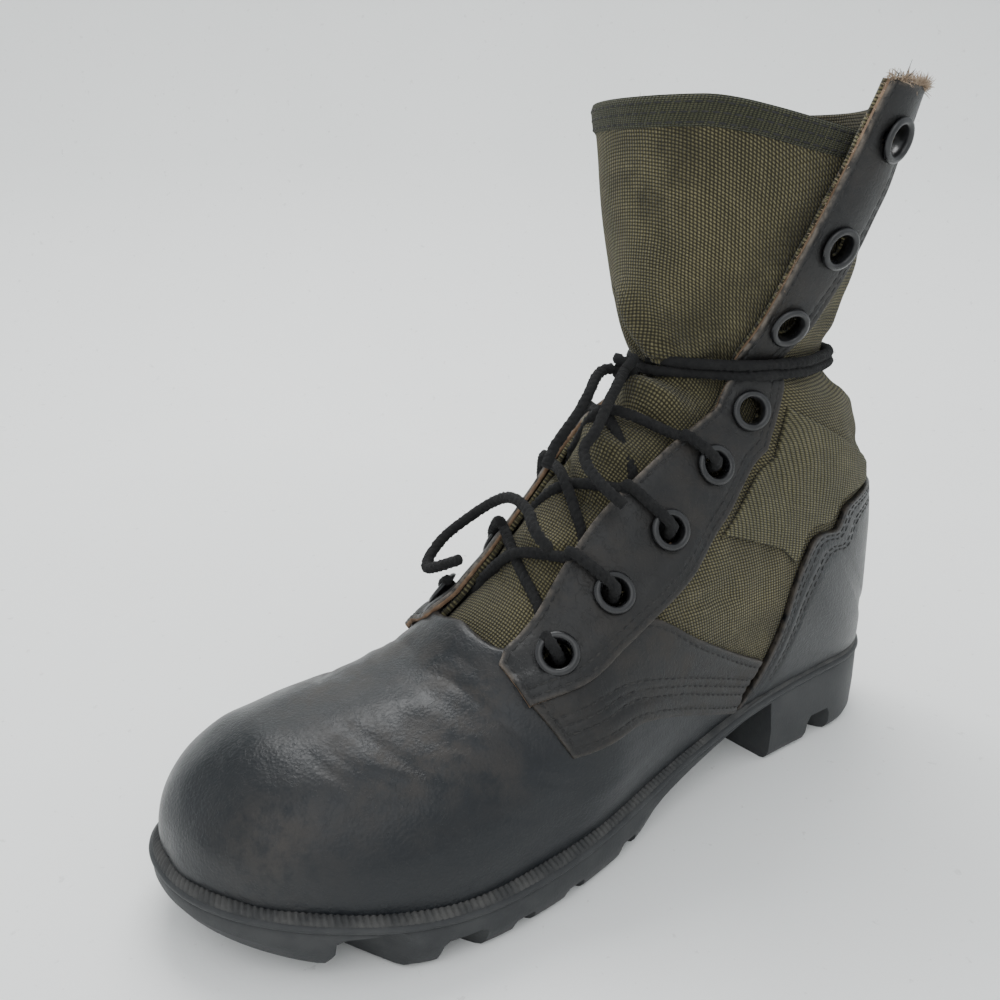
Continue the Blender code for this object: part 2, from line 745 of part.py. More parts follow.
def make_back_strip():
    rows = [18.93, 19.1, 19.3, 19.7, 20.0, 20.4, 21.0, 22.0, 23.0, 24.0, BINDING_ROW - 0.06]
    patches = [strip(side, rows, lambda u: 0.0, lambda u: backstay_share(u, side), 2) for side in SIDES]
    shell("backstay", patches, SEAT_GAP, SEAT_GAP + WEBBING, "webbing")
    rows = [BINDING_ROW, (BINDING_ROW + LAST_ROW) / 2, float(LAST_ROW)]
    patches = [
        strip(side, rows, lambda u: 0.0, lambda u: eyestay_rear(u, side) - PANEL_GAP, 8) for side in SIDES
    ]
    shell("collar_binding", patches, SEAT_GAP, SEAT_GAP + WEBBING, "tape")


# Eyelets: section row of each, share of the way from the rear to the front edge of the eyestay
EYELETS = [
    (8.0, 0.45),
    (9.4, 0.42),
    (11.0, 0.42),
    (13.0, 0.46),
    (17.2, 0.47),
    (22.0, 0.50),
    (23.2, 0.52),
    (24.45, 0.52),
]
EYELET_ROWS = [row for row, place in EYELETS]
EYELET_RADIUS = 0.0072
EYELET_HOLE = 0.0044
EYELET_RISE = 0.0014


def eyelet_frame(u, side):
    """Centre on the leather, outward normal and two directions in the surface."""
    share = along(EYELETS, u)
    a = eyestay_rear(u, side) * (1 - share) + throat_edge(u, side) * share
    point = np.array(world(form(u, a, side)))
    across = np.array(world(form(u, a + 0.02, side))) - np.array(world(form(u, a - 0.02, side)))
    up = np.array(world(form(min(u + 0.1, LAST_ROW), a, side))) - np.array(world(form(u - 0.1, a, side)))
    across /= np.linalg.norm(across)
    up -= across * float(np.dot(up, across))
    up /= np.linalg.norm(up)
    normal = np.cross(up, across) * SIDES[side]
    return point + normal * (LEATHER + SEAT_GAP), normal, across, up


def make_eyelet(number, u, side):
    point, normal, across, up = eyelet_frame(u, side)
    bend = 0.00058  # the leather's curve under the ring
    profile = [
        (EYELET_RADIUS, bend),
        (EYELET_RADIUS * 0.93, bend + EYELET_RISE * 0.7),
        ((EYELET_RADIUS + EYELET_HOLE) / 2, bend + EYELET_RISE),
        (EYELET_HOLE, bend),
    ]
    rings = []
    for radius, height in profile:
        ring = []
        for i in range(9):
            turn = 2 * math.pi * i / 9
            ring.append(point + (across * math.cos(turn) + up * math.sin(turn)) * radius + normal * height)
        rings.append(ring)
    bm = bmesh.new()
    loft(bm, rings + [rings[0]])
    bmesh.ops.remove_doubles(bm, verts=bm.verts, dist=0.00001)
    return place("eyelet_" + side + "_" + str(number), bm, "enamel")


# Tongue: row, how far its middle stands out from the ridge, and half widths of its front, outer and inner
TONGUE = [
    # row, then push, outer and inner as shares of the ball width, outer tuck as a share of the section
    (6.3, -0.060, 0.17, 0.15, 0.10),
    (7.4, -0.058, 0.16, 0.14, 0.10),
    (9.0, -0.048, 0.15, 0.14, 0.10),
    (11.5, -0.034, 0.14, 0.13, 0.10),
    (14.0, -0.014, 0.12, 0.11, 0.11),
    (17.0, 0.010, 0.12, 0.11, 0.16),
    (20.0, 0.025, 0.11, 0.10, 0.17),
    (22.0, 0.055, 0.27, 0.28, 0.18),
    (23.5, 0.090, 0.37, 0.39, 0.18),
    (24.8, 0.120, 0.46, 0.49, 0.18),
]
TONGUE_TUCK = 0.10  # how far the tongue reaches behind the inner eyestay, as a share of the section
TONGUE_UNDER = 0.0066  # from the upper's outside to the tongue's middle layer, under the eyestays
TONGUE_WALL = 0.0020


def inward(u, a, side, depth):
    """A point of the form moved in from the surface."""
    point = form(u, a, side)
    across = form(u, a + 0.02, side) - form(u, a - 0.02, side)
    up = form(min(u + 0.1, LAST_ROW), a, side) - form(u - 0.1, a, side)
    normal = np.cross(up, across)
    normal /= np.linalg.norm(normal)
    if normal[0] * SIDES[side] < 0:
        normal = -normal
    return point - normal * depth


def tongue_row(u, count=10):
    push, outer, inner = (along(TONGUE, u, k) * BALL_WIDTH for k in (1, 2, 3))
    tuck = {"outer": along(TONGUE, u, 4), "inner": TONGUE_TUCK}
    base, tip = section_frame(u, "outer")[:2]
    forward = (tip - base) / np.linalg.norm(tip - base)
    middle = tip + forward * push
    ends = {s: inward(u, throat_edge(max(u, THROAT_ROW), s) - tuck[s], s, TONGUE_UNDER) for s in SIDES}
    control = (middle * 8 - ends["outer"] - ends["inner"]) / 6
    control[0] = 0.0
    hold = [ends["outer"], control + np.array((outer, 0, 0)), control - np.array((inner, 0, 0)), ends["inner"]]
    row = []
    for t in spread(0.0, 1.0, count):
        weights = ((1 - t) ** 3, 3 * t * (1 - t) ** 2, 3 * t * t * (1 - t), t ** 3)
        row.append(sum(w * p for w, p in zip(weights, hold)))
    return row


def make_tongue():
    rows = [6.3, 7.4, 8.5, 9.7, 11.0, 12.5, 14.0, 16.0, 18.0, 19.6, 20.4, 21.2, 22.2, 23.5, 24.8]
    grid = [tongue_row(u, 9) for u in rows]
    return shell("tongue", [grid], -TONGUE_WALL / 2, TONGUE_WALL / 2, "canvas", stand_clear=False)


# Laces: two strands cross over the tongue between the lower eyelets, and one winds twice round the ankle
LACE_RADIUS = 0.0015
LACED_EYELETS = 4
STRAND_LIFT = 0.0056  # from the leather to the strand's middle, over the eyelets and over the eyestay's edge
CROSSING_LIFT = {"a": 0.0050, "b": 0.0090}  # from the tongue to each strand where they cross
WRAP_TURNS = 2
WRAP_PITCH = 0.0036
WRAP_LIFT = SEAT_GAP * 2 + LEATHER + LACE_RADIUS + 0.0009
WRAP_SPREAD = 1.25  # more room where the wall slopes
TONGUE_POINTS = 20


def surface_point(u, a, side, lift):
    """A world point off the upper's form."""
    return np.array(world(inward(u, a, side, -lift)))


def tongue_point(u, t, lift):
    """A point over the tongue, t from the outer edge to the inner, raised towards the front."""
    row = tongue_row(u, TONGUE_POINTS)
    point = np.array(world(row[round(t * TONGUE_POINTS)]))
    base, tip = (np.array(world(p)) for p in section_frame(u, "outer")[:2])
    return point + (tip - base) / np.linalg.norm(tip - base) * lift


def make_strand(name, first_side):
    path, side = [], first_side
    other = {"outer": "inner", "inner": "outer"}
    for number in range(LACED_EYELETS):
        u = EYELET_ROWS[number]
        point, normal = eyelet_frame(u, side)[:2]
        if number:
            path.append(surface_point(u - 0.3, throat_edge(u, side), side, LEATHER + STRAND_LIFT))
        path.append(point + normal * STRAND_LIFT)
        if number < LACED_EYELETS - 1:
            path.append(surface_point(u + 0.3, throat_edge(u, side), side, LEATHER + STRAND_LIFT))
            path.append(tongue_point((u + EYELET_ROWS[number + 1]) / 2, 0.5, CROSSING_LIFT[name]))
        side = other[side]
    return tube("lace_strand_" + name, path, LACE_RADIUS, "lace_cord")


def row_at_height(reader, height, low=16.5, high=21.8):
    """The row at which a point that rises with the row reaches the height."""
    for _ in range(24):
        middle = (low + high) / 2
        if reader(middle)[2] < height:
            low = middle
        else:
            high = middle
    return (low + high) / 2


WRAP_FRONT = (0.30, 0.50, 0.70)
WRAP_SIDE = (0.73, 0.62, 0.51, 0.40, 0.29, 0.19, 0.09)
WRAP_BACK = 0.025


def wrap_point(kind, share, height):
    """A point beside the upper or the tongue at the height, moved out level."""
    if kind == "tongue":
        index = round(share * TONGUE_POINTS)
        u = row_at_height(lambda v: tongue_row(v, TONGUE_POINTS)[index], height)
        point = np.array(world(tongue_row(u, TONGUE_POINTS)[index]))
        out = np.array((0.5 * point[0] / abs(point[0]) if abs(point[0]) > 0.004 else 0.0, -1.0, 0.0))
    else:
        u = row_at_height(lambda v: form(v, share, kind), height)
        point = np.array(world(form(u, share, kind)))
        out = surface_point(u, share, kind, 1.0) - point
        out[2] = 0.0
    point += out / np.linalg.norm(out) * WRAP_LIFT * WRAP_SPREAD
    point[2] = height
    return point


def make_wrap():
    turn = [("tongue", 0.50), ("tongue", 0.30)]
    turn += [("outer", share) for share in (*WRAP_SIDE, WRAP_BACK)]
    turn += [("inner", share) for share in WRAP_SIDE[::-1]]
    turn += [("tongue", 0.70)]
    stops = turn * WRAP_TURNS
    top = WRAP_HEIGHT + WRAP_PITCH
    path = [wrap_point(kind, share, top - WRAP_PITCH * i / len(turn)) for i, (kind, share) in enumerate(stops)]
    return tube("lace_wrap", path, LACE_RADIUS, "lace_cord")


# Free lace: the knot on the front of the wrap, two short ends and a slack loop, points in world metres
KNOT_CENTRE = (-0.004, -0.0878, 0.1575)
KNOT_RADIUS = 0.0045
LACE_END_A = [
    (-0.0057, -0.0923, 0.1570),
    (-0.0064, -0.0960, 0.1566),
    (-0.0048, -0.1008, 0.1549),
    (-0.0020, -0.1056, 0.1518),
    (0.0000, -0.1101, 0.1482),
    (0.0008, -0.1148, 0.1436),
    (0.0006, -0.1194, 0.1390),
    (0.0004, -0.1240, 0.1338),
    (0.0018, -0.1284, 0.1287),
]
LACE_END_B = [
    (-0.0010, -0.0914, 0.1563),
    (0.0013, -0.0946, 0.1551),
    (0.0040, -0.0994, 0.1526),
    (0.0064, -0.1045, 0.1489),
    (0.0083, -0.1090, 0.1447),
    (0.0095, -0.1136, 0.1397),
    (0.0096, -0.1182, 0.1352),
    (0.0138, -0.1208, 0.1308),
    (0.0206, -0.1222, 0.1275),
    (0.0266, -0.1218, 0.1241),
    (0.0314, -0.1196, 0.1207),
]
LACE_LOOP = [
    (0.01773, -0.1400, 0.1066),
    (0.0180, -0.1430, 0.1101),
    (0.0140, -0.1430, 0.1132),
    (0.0065, -0.1395, 0.1160),
    (-0.0020, -0.1375, 0.1175),
    (-0.0110, -0.1360, 0.1160),
    (-0.0200, -0.1365, 0.1115),
    (-0.0270, -0.1405, 0.1055),
    (-0.0305, -0.1480, 0.0995),
    (-0.0300, -0.1550, 0.0940),
    (-0.0250, -0.1600, 0.0915),
    (-0.0170, -0.1600, 0.0945),
    (-0.0090, -0.1570, 0.0985),
]


def make_knot():
    bm = bmesh.new()
    bmesh.ops.create_icosphere(bm, subdivisions=1, radius=KNOT_RADIUS)
    for v in bm.verts:
        v.co = (v.co.x + KNOT_CENTRE[0], v.co.y + KNOT_CENTRE[1], v.co.z + KNOT_CENTRE[2])
    return place("lace_knot", bm, "lace_cord")


def build():
    clear_scene()
    make_knot()
    tube("lace_end_a", LACE_END_A, LACE_RADIUS, "lace_cord")
    tube("lace_end_b", LACE_END_B, LACE_RADIUS, "lace_cord")
    tube("lace_loop", LACE_LOOP, LACE_RADIUS, "lace_cord")
    make_strand("a", "outer")
    make_strand("b", "inner")
    make_wrap()
    make_outsole()
    make_insole()
    make_upper()
    make_vamp()
    make_counter()
    for side in SIDES:
        make_side_panels(side)
        for number, u in enumerate(EYELET_ROWS, 1):
            make_eyelet(number, u, side)
    make_back_strip()
    make_tongue()


build()
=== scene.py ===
"""Looks of the left jungle boot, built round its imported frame.

Metres, +Z up, toe towards -Y, the wearer's left (outer) side towards +X.
The form and the panel tables repeat those of the part's source.
"""

import math

import bmesh
import bpy
import numpy as np
from mathutils import Matrix, Vector


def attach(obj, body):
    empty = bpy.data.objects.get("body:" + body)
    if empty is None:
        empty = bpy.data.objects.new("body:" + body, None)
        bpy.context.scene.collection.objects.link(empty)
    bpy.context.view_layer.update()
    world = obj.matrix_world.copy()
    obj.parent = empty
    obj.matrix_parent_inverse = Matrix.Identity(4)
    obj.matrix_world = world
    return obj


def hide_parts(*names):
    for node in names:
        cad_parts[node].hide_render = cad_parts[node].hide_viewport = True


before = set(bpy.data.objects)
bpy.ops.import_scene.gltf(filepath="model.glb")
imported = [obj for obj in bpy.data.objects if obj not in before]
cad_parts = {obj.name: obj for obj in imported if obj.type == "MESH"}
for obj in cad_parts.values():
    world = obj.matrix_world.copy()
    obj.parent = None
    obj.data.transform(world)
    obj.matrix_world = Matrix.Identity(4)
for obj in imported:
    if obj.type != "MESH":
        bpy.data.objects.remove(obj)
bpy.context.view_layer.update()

SOLE_LENGTH = 0.305
BALL_WIDTH = 0.108
HEEL_CENTRE = 0.038
BREAST = 0.080
HEEL_HEIGHT = 0.035
BALL_THICKNESS = 0.0182
TOE_SPRING = 0.010
WAIST_THICKNESS = 0.012
RIM_FOREFOOT = 0.0058
RIM_HEEL = 0.0036
HEEL_ROUND = 0.040
TOE_ROUND = 0.088
TOE_BLUNT = 2.25
SPINE_HALF = 0.0065
SHAFT_HEIGHT = 0.208
WALL = 0.0018
LEATHER = 0.0019
WEBBING = 0.0013
SEAT_GAP = 0.0003
FACET_ROOM = 0.0005
SIDES = {"outer": 1, "inner": -1}
OTHER = {"outer": "inner", "inner": "outer"}
SEAM_JOIN = 0.0003  # points of the two sides closer than this are one
PANEL_EDGE = 0.0008  # radius of a leather panel's rounded edge
CLOTH_EDGE = 0.0006
UNDERSIDE = SEAT_GAP * 0.3  # how far a panel's underside stands off the form


def along(rows, x, column=1):
    """A smooth curve through the rows' values in that column, read at x in the first column."""
    table = np.array(rows, float)
    xs, ys = table[:, 0], table[:, column]
    step = np.diff(xs)
    slope = np.diff(ys) / step
    tangent = np.empty_like(ys)
    tangent[0], tangent[-1] = slope[0], slope[-1]
    tangent[1:-1] = (slope[:-1] * step[1:] + slope[1:] * step[:-1]) / (step[1:] + step[:-1])
    x = np.clip(np.asarray(x, float), xs[0], xs[-1])
    i = np.clip(np.searchsorted(xs, x, side="right") - 1, 0, len(xs) - 2)
    t = (x - xs[i]) / step[i]
    return (
        ys[i] * (1 + 2 * t) * (1 - t) ** 2
        + ys[i + 1] * t * t * (3 - 2 * t)
        + step[i] * (tangent[i] * t * (1 - t) ** 2 - tangent[i + 1] * t * t * (1 - t))
    )


def rounded(distance, radius, power=2.0):
    t = np.clip(np.asarray(distance, float) / radius, 0, 1)
    return (1 - (1 - t) ** power) ** (1 / power)


OUTLINE = [
    (0.00, 0.000, 0.334), (0.13, 0.004, 0.334), (0.24, 0.020, 0.322), (0.34, 0.046, 0.308),
    (0.44, 0.062, 0.318), (0.53, 0.056, 0.374), (0.62, 0.036, 0.446), (0.71, 0.008, 0.496),
    (0.80, -0.020, 0.512), (0.90, -0.058, 0.505), (1.00, -0.100, 0.500),
]
RIM = [
    (0.00, 1.02, 0.0, 0.0),
    (0.15, 1.00, 0.0, 0.0),
    (0.30, 0.90, 0.0, 0.0),
    (0.42, 0.46, 0.5, 0.0),
    (0.55, 0.08, 0.94, 0.0),
    (0.68, 0.0, 1.0, 0.0),
    (0.80, 0.0, 1.0, 0.10),
    (0.90, 0.0, 1.02, 0.45),
    (1.00, 0.0, 1.03, 0.90),
]
TREAD = [
    (0.00, 1.0, 0.0), (0.44, 1.0, 0.0), (0.48, 0.80, 0.0), (0.52, 0.22, 0.0), (0.56, 0.0, 0.0),
    (0.80, 0.0, 0.0), (0.86, 0.0, 0.22), (0.90, 0.0, 0.50), (0.95, 0.0, 0.95), (1.00, 0.0, 1.45),
]


def rim_height(s):
    share = np.asarray(s, float) / SOLE_LENGTH
    return (
        along(RIM, share, 1) * HEEL_HEIGHT
        + along(RIM, share, 2) * BALL_THICKNESS
        + along(RIM, share, 3) * TOE_SPRING
    )


def tread_height(s):
    s = np.asarray(s, float)
    share = s / SOLE_LENGTH
    gap = rim_height(s) - WAIST_THICKNESS
    height = np.maximum(along(TREAD, share, 1) * gap, 0) + np.maximum(along(TREAD, share, 2), 0) * TOE_SPRING
    return np.where(s <= BREAST, 0.0, height)


def rim_inset(s):
    return RIM_HEEL + (RIM_FOREFOOT - RIM_HEEL) * np.clip((np.asarray(s) / SOLE_LENGTH - 0.2) / 0.4, 0, 1)


def outline(s, inset=0.0):
    """Centre line and half width of the sole's outline at s, brought in by the inset."""
    share = np.asarray(s, float) / SOLE_LENGTH
    length = SOLE_LENGTH - 2 * inset
    at = s - inset
    half = along(OUTLINE, share, 2) * BALL_WIDTH - inset
    half = half * rounded(at, HEEL_ROUND - inset) * rounded(length - at, TOE_ROUND - inset, TOE_BLUNT)
    return along(OUTLINE, share, 1) * BALL_WIDTH, half


FEATHER_BACK = RIM_HEEL
FEATHER_TOE = SOLE_LENGTH - RIM_FOREFOOT


def feather(s):
    inset = rim_inset(s)
    share = s / SOLE_LENGTH
    half = along(OUTLINE, share, 2) * BALL_WIDTH - inset
    half = half * rounded(s - FEATHER_BACK, HEEL_ROUND - inset)
    half = half * rounded(FEATHER_TOE - s, TOE_ROUND - inset, TOE_BLUNT)
    return along(OUTLINE, share, 1) * BALL_WIDTH, half, rim_height(s)


TOE_TABLE_REACH = 0.238
TOE_SECTIONS = 6
TOE_RIDGE = (0.186, 0.204)
TOE_TOP_ROUND = 0.062
TOE_TOP_BLUNT = 2.3
SECTIONS = [
    # foot, rise, reach, ridge, outer, inner, low, peak, follow
    (0.715, 0.00, 0.724, 0.236, 0.000, 0.000, 1.00, 0.92, 0.9),
    (0.646, 0.00, 0.672, 0.282, 0.300, 0.300, 1.00, 0.98, 0.6),
    (0.577, 0.00, 0.622, 0.338, 0.432, 0.352, 1.00, 1.04, 0.3),
    (0.505, 0.00, 0.573, 0.400, 0.408, 0.330, 1.00, 1.08, 0.1),
    (0.430, 0.00, 0.526, 0.457, 0.384, 0.322, 1.00, 1.08, 0.0),
    (0.350, 0.00, 0.487, 0.498, 0.370, 0.328, 1.00, 1.04, 0.0),
    (0.269, 0.00, 0.453, 0.527, 0.362, 0.336, 1.00, 1.00, 0.0),
    (0.184, 0.00, 0.426, 0.547, 0.360, 0.345, 0.98, 0.97, 0.0),
    (0.105, 0.00, 0.405, 0.561, 0.361, 0.350, 0.95, 0.95, 0.0),
    (0.044, 0.00, 0.391, 0.570, 0.360, 0.350, 0.92, 0.93, 0.0),
    (0.012, 0.02, 0.382, 0.576, 0.356, 0.347, 0.90, 0.92, 0.0),
    (0.010, 0.13, 0.375, 0.581, 0.350, 0.341, 0.90, 0.92, 0.0),
    (0.016, 0.25, 0.370, 0.586, 0.342, 0.333, 0.90, 0.92, 0.0),
    (0.030, 0.36, 0.367, 0.591, 0.334, 0.325, 0.90, 0.92, 0.0),
    (0.062, 0.46, 0.366, 0.597, 0.320, 0.312, 0.90, 0.92, 0.0),
    (0.120, 0.56, 0.367, 0.610, 0.264, 0.260, 0.90, 0.92, 0.0),
    (0.120, 0.64, 0.369, 0.672, 0.292, 0.284, 0.90, 0.92, 0.0),
    (0.106, 0.75, 0.373, 0.772, 0.322, 0.312, 0.90, 0.92, 0.0),
    (0.091, 0.87, 0.376, 0.895, 0.350, 0.338, 0.90, 0.92, 0.0),
    (0.078, 1.00, 0.380, 1.036, 0.372, 0.356, 0.90, 0.92, 0.0),
]


def section_rows():
    rows = []
    for i in range(TOE_SECTIONS):
        t = i / TOE_SECTIONS
        reach = FEATHER_TOE - (FEATHER_TOE - TOE_TABLE_REACH) * t ** 2
        ridge = (TOE_RIDGE[0] * (1 - t) + TOE_RIDGE[1] * t) * SHAFT_HEIGHT
        rows.append((reach, 0.0, reach, ridge, 0.0, 0.0, 1.0, 0.86, 1.0))
    scale = np.array((SOLE_LENGTH, SHAFT_HEIGHT, SOLE_LENGTH, SHAFT_HEIGHT, BALL_WIDTH, BALL_WIDTH, 1, 1, 1))
    return np.array(rows + [tuple(np.array(row) * scale) for row in SECTIONS])


ROWS = section_rows()
LAST_ROW = len(ROWS) - 1
WIDEN = 1.03
SEAM_START = 0.004
WRAP_HEIGHT = HEEL_HEIGHT + 0.5817 * SHAFT_HEIGHT
FLAP_OUT = {"outer": 0.023, "inner": 0.013}
FLAP_BACK = {"outer": 0.006, "inner": 0.007}


def read_section(u):
    u = np.clip(u, 0, LAST_ROW)
    i = np.minimum(u.astype(int), LAST_ROW - 1)
    t = (u - i)[..., None]
    a, b = ROWS[i], ROWS[i + 1]
    before = np.where((i > 0)[..., None], ROWS[np.maximum(i - 1, 0)], 2 * a - b)
    after = np.where((i + 2 <= LAST_ROW)[..., None], ROWS[np.minimum(i + 2, LAST_ROW)], 2 * b - a)
    return 0.5 * (
        2 * a + (b - before) * t
        + (2 * before - 5 * a + 4 * b - after) * t * t
        + (3 * a - before - 3 * b + after) * t ** 3
    )


def section_frame(u, side):
    """Foot and ridge as x, s, z, half width, first angle and powers of the sections at u on one side."""
    foot, rise, reach, ridge, outer, inner, low, peak, follow = np.moveaxis(read_section(u), -1, 0)
    foot = np.clip(foot, FEATHER_BACK, FEATHER_TOE)
    rise = np.maximum(rise, 0)
    centre, half, height = feather(foot)
    fade = np.clip((u - 6) / 2, 0, 1)
    shift = np.where(u > 6, centre * (1 - fade), centre)
    edge = np.where(u > 6, half + SIDES[side] * (centre - shift), half)
    edge = edge * np.minimum(half / 0.002, 1) * np.maximum(1 - rise / SEAM_START, 0)
    edge = np.maximum(edge, 0)
    table = outer if side == "outer" else inner
    width = ((WIDEN * edge) ** 8 + np.maximum(table, 0) ** 8) ** 0.125
    share = np.where(width > 0, np.minimum(edge / np.maximum(width, 1e-9), 1), 1)
    first = np.where(share < 1, np.arcsin(np.minimum(share ** (1 / low), 1)), math.pi / 2)
    top = rounded(FEATHER_TOE - foot, TOE_TOP_ROUND, TOE_TOP_BLUNT)
    in_shaft = rise > 0
    back_rim = float(rim_height(FEATHER_BACK))
    base = np.stack((shift, foot, np.where(in_shaft, back_rim + rise, height + rise)), -1)
    tip_x = along(OUTLINE, reach / SOLE_LENGTH, 1) * BALL_WIDTH * follow
    tip_z = np.where(in_shaft, back_rim + ridge, height + ridge * top)
    return base, np.stack((tip_x, reach, tip_z), -1), width, first, low, peak


def form(u, a, side):
    """World points of the upper's outer form at section u, a from 0 at the foot to 1 at the ridge."""
    u, a = np.broadcast_arrays(np.asarray(u, float), np.asarray(a, float))
    base, tip, width, first, low, peak = section_frame(u, side)
    angle = first + (math.pi - first) * a
    rise = (np.cos(first) - np.cos(angle)) / (np.cos(first) + 1)
    power = np.where(angle < math.pi / 2, low, peak)
    out = width * np.maximum(np.sin(angle), 0) ** power
    x, s, z = np.moveaxis(base + (tip - base) * rise[..., None], -1, 0)
    lift = np.maximum(z - WRAP_HEIGHT, 0) / (SHAFT_HEIGHT + HEEL_HEIGHT - WRAP_HEIGHT)
    turn = np.clip((a - 0.20) / 0.40, 0, 1)
    turn = turn * turn * (3 - 2 * turn)
    x = x + SIDES[side] * (out + FLAP_OUT[side] * lift ** 0.75 * turn)
    s = s - FLAP_BACK[side] * lift ** 1.8 * turn
    return np.stack((x, HEEL_CENTRE - s, z), -1)


def outward(u, a, side):
    """Unit normals of the form, pointing away from the foot."""
    u, a = np.broadcast_arrays(np.asarray(u, float), np.asarray(a, float))
    across = form(u, np.minimum(a + 0.01, 1), side) - form(u, np.maximum(a - 0.01, 0), side)
    up = form(np.minimum(u + 0.05, LAST_ROW), a, side) - form(np.maximum(u - 0.05, 0), a, side)
    normal = np.cross(up, across) * SIDES[side]
    return normal / np.maximum(np.linalg.norm(normal, axis=-1, keepdims=True), 1e-12)


THROAT_ROW = 7.4
THROAT_EDGE = [
    # row, outer, inner
    (7.4, 0.770, 0.790), (8.8, 0.785, 0.800), (9.9, 0.780, 0.800), (11.5, 0.748, 0.780),
    (13.3, 0.742, 0.770), (16.8, 0.812, 0.765), (19.3, 0.790, 0.732), (21.3, 0.738, 0.690),
    (23.1, 0.688, 0.650), (25.0, 0.638, 0.620),
]
EYESTAY_REAR = [
    (7.2, 0.560, 0.560), (8.8, 0.500, 0.500), (10.8, 0.470, 0.470), (12.1, 0.505, 0.490),
    (14.1, 0.583, 0.530), (18.0, 0.672, 0.560), (20.0, 0.635, 0.510), (21.8, 0.557, 0.430),
    (23.2, 0.492, 0.370), (25.0, 0.452, 0.330),
]
SADDLE_UNDER = [
    # row, share: how far the saddle runs on below the eyestay
    (7.14, 0.610), (8.1, 0.580), (8.9, 0.545), (9.8, 0.480), (10.6, 0.330), (11.4, 0.200),
    (11.9, 0.130),
]
SADDLE_LOW = [
    (7.45, 0.350), (8.5, 0.320), (9.7, 0.200), (10.5, 0.100), (11.1, 0.020),
]
VAMP_UNDER = [
    # share, row: how far the vamp runs on below the saddle and the eyestay
    (0.00, 11.30), (0.09, 10.90), (0.18, 10.20), (0.26, 9.45), (0.32, 8.95), (0.37, 8.40), (0.50, 7.85),
    (0.62, 7.70), (0.74, 7.55), (0.79, 7.36), (0.86, 7.26), (1.00, 7.30),
]
COUNTER_EDGE = [
    # row, share
    (11.25, 0.000), (11.6, 0.055), (12.2, 0.150), (13.1, 0.275), (14.4, 0.375), (16.3, 0.465),
    (17.3, 0.415), (18.2, 0.270), (18.6, 0.130), (18.8, 0.000),
]
OVERLAP = 0.0018  # how far a panel rises over the one below it
PATCH_LOW = [
    (12.0, 0.470), (13.4, 0.355),
]
PATCH_TOP_ROW = 18.75
BACKSTAY_HALF = 0.0095
BINDING_ROW = 24.55
PANEL_GAP = 0.022
EYELETS = [
    # row, share of the way from the rear to the front edge of the eyestay
    (8.0, 0.45), (9.4, 0.42), (11.0, 0.42), (13.0, 0.46), (17.2, 0.47), (22.0, 0.50), (23.2, 0.52),
    (24.45, 0.52),
]
EYELET_ROWS = [row for row, place in EYELETS]
ANKLE_ROW = 15.8
TONGUE = [
    # row, then push, outer and inner as shares of the ball width, outer tuck as a share of the section
    (6.3, -0.060, 0.17, 0.15, 0.10),
    (7.4, -0.058, 0.16, 0.14, 0.10),
    (9.0, -0.048, 0.15, 0.14, 0.10),
    (11.5, -0.034, 0.14, 0.13, 0.10),
    (14.0, -0.014, 0.12, 0.11, 0.11),
    (17.0, 0.010, 0.12, 0.11, 0.16),
    (20.0, 0.036, 0.11, 0.20, 0.17),
    (22.0, 0.075, 0.27, 0.37, 0.18),
    (23.5, 0.098, 0.37, 0.46, 0.18),
    (24.8, 0.120, 0.46, 0.54, 0.18),
]
TONGUE_UNDER = 0.0066
TONGUE_TUCK = 0.10


def first_angle(u, side):
    return section_frame(np.asarray(u, float), side)[3]


def climb(u, a, side):
    """How far up from the foot to the ridge share a of section u stands."""
    first = first_angle(u, side)
    angle = first + (math.pi - first) * a
    return (np.cos(first) - np.cos(angle)) / (np.cos(first) + 1)


def seam_line(rows, u, side, column=1):
    """The share at section u of a smooth seam through the rows' sections and shares."""
    table = np.array(rows, float)
    first = first_angle(u, side)
    up = along(np.stack((table[:, 0], climb(table[:, 0], table[:, column], side)), -1), u)
    angle = np.arccos(np.clip(np.cos(first) - up * (np.cos(first) + 1), -1, 1))
    return np.maximum((angle - first) / (math.pi - first), 0)


def throat_edge(u, side):
    return seam_line(THROAT_EDGE, np.maximum(u, THROAT_ROW), side, 1 if side == "outer" else 2)


def ankle_rise(u, side, share):
    """Carries a seam straight over the hollow below the inner ankle."""
    return share * np.exp(-((np.asarray(u, float) - ANKLE_ROW) / 0.65) ** 2) * (side == "inner")


def eyestay_rear(u, side):
    return seam_line(EYESTAY_REAR, u, side, 1 if side == "outer" else 2) + ankle_rise(u, side, 0.018)


def counter_edge(u, side):
    return seam_line(COUNTER_EDGE, u, side) + ankle_rise(u, side, 0.030)


def unit(v):
    v = np.asarray(v, float)
    return v / np.maximum(np.linalg.norm(v, axis=-1, keepdims=True), 1e-12)


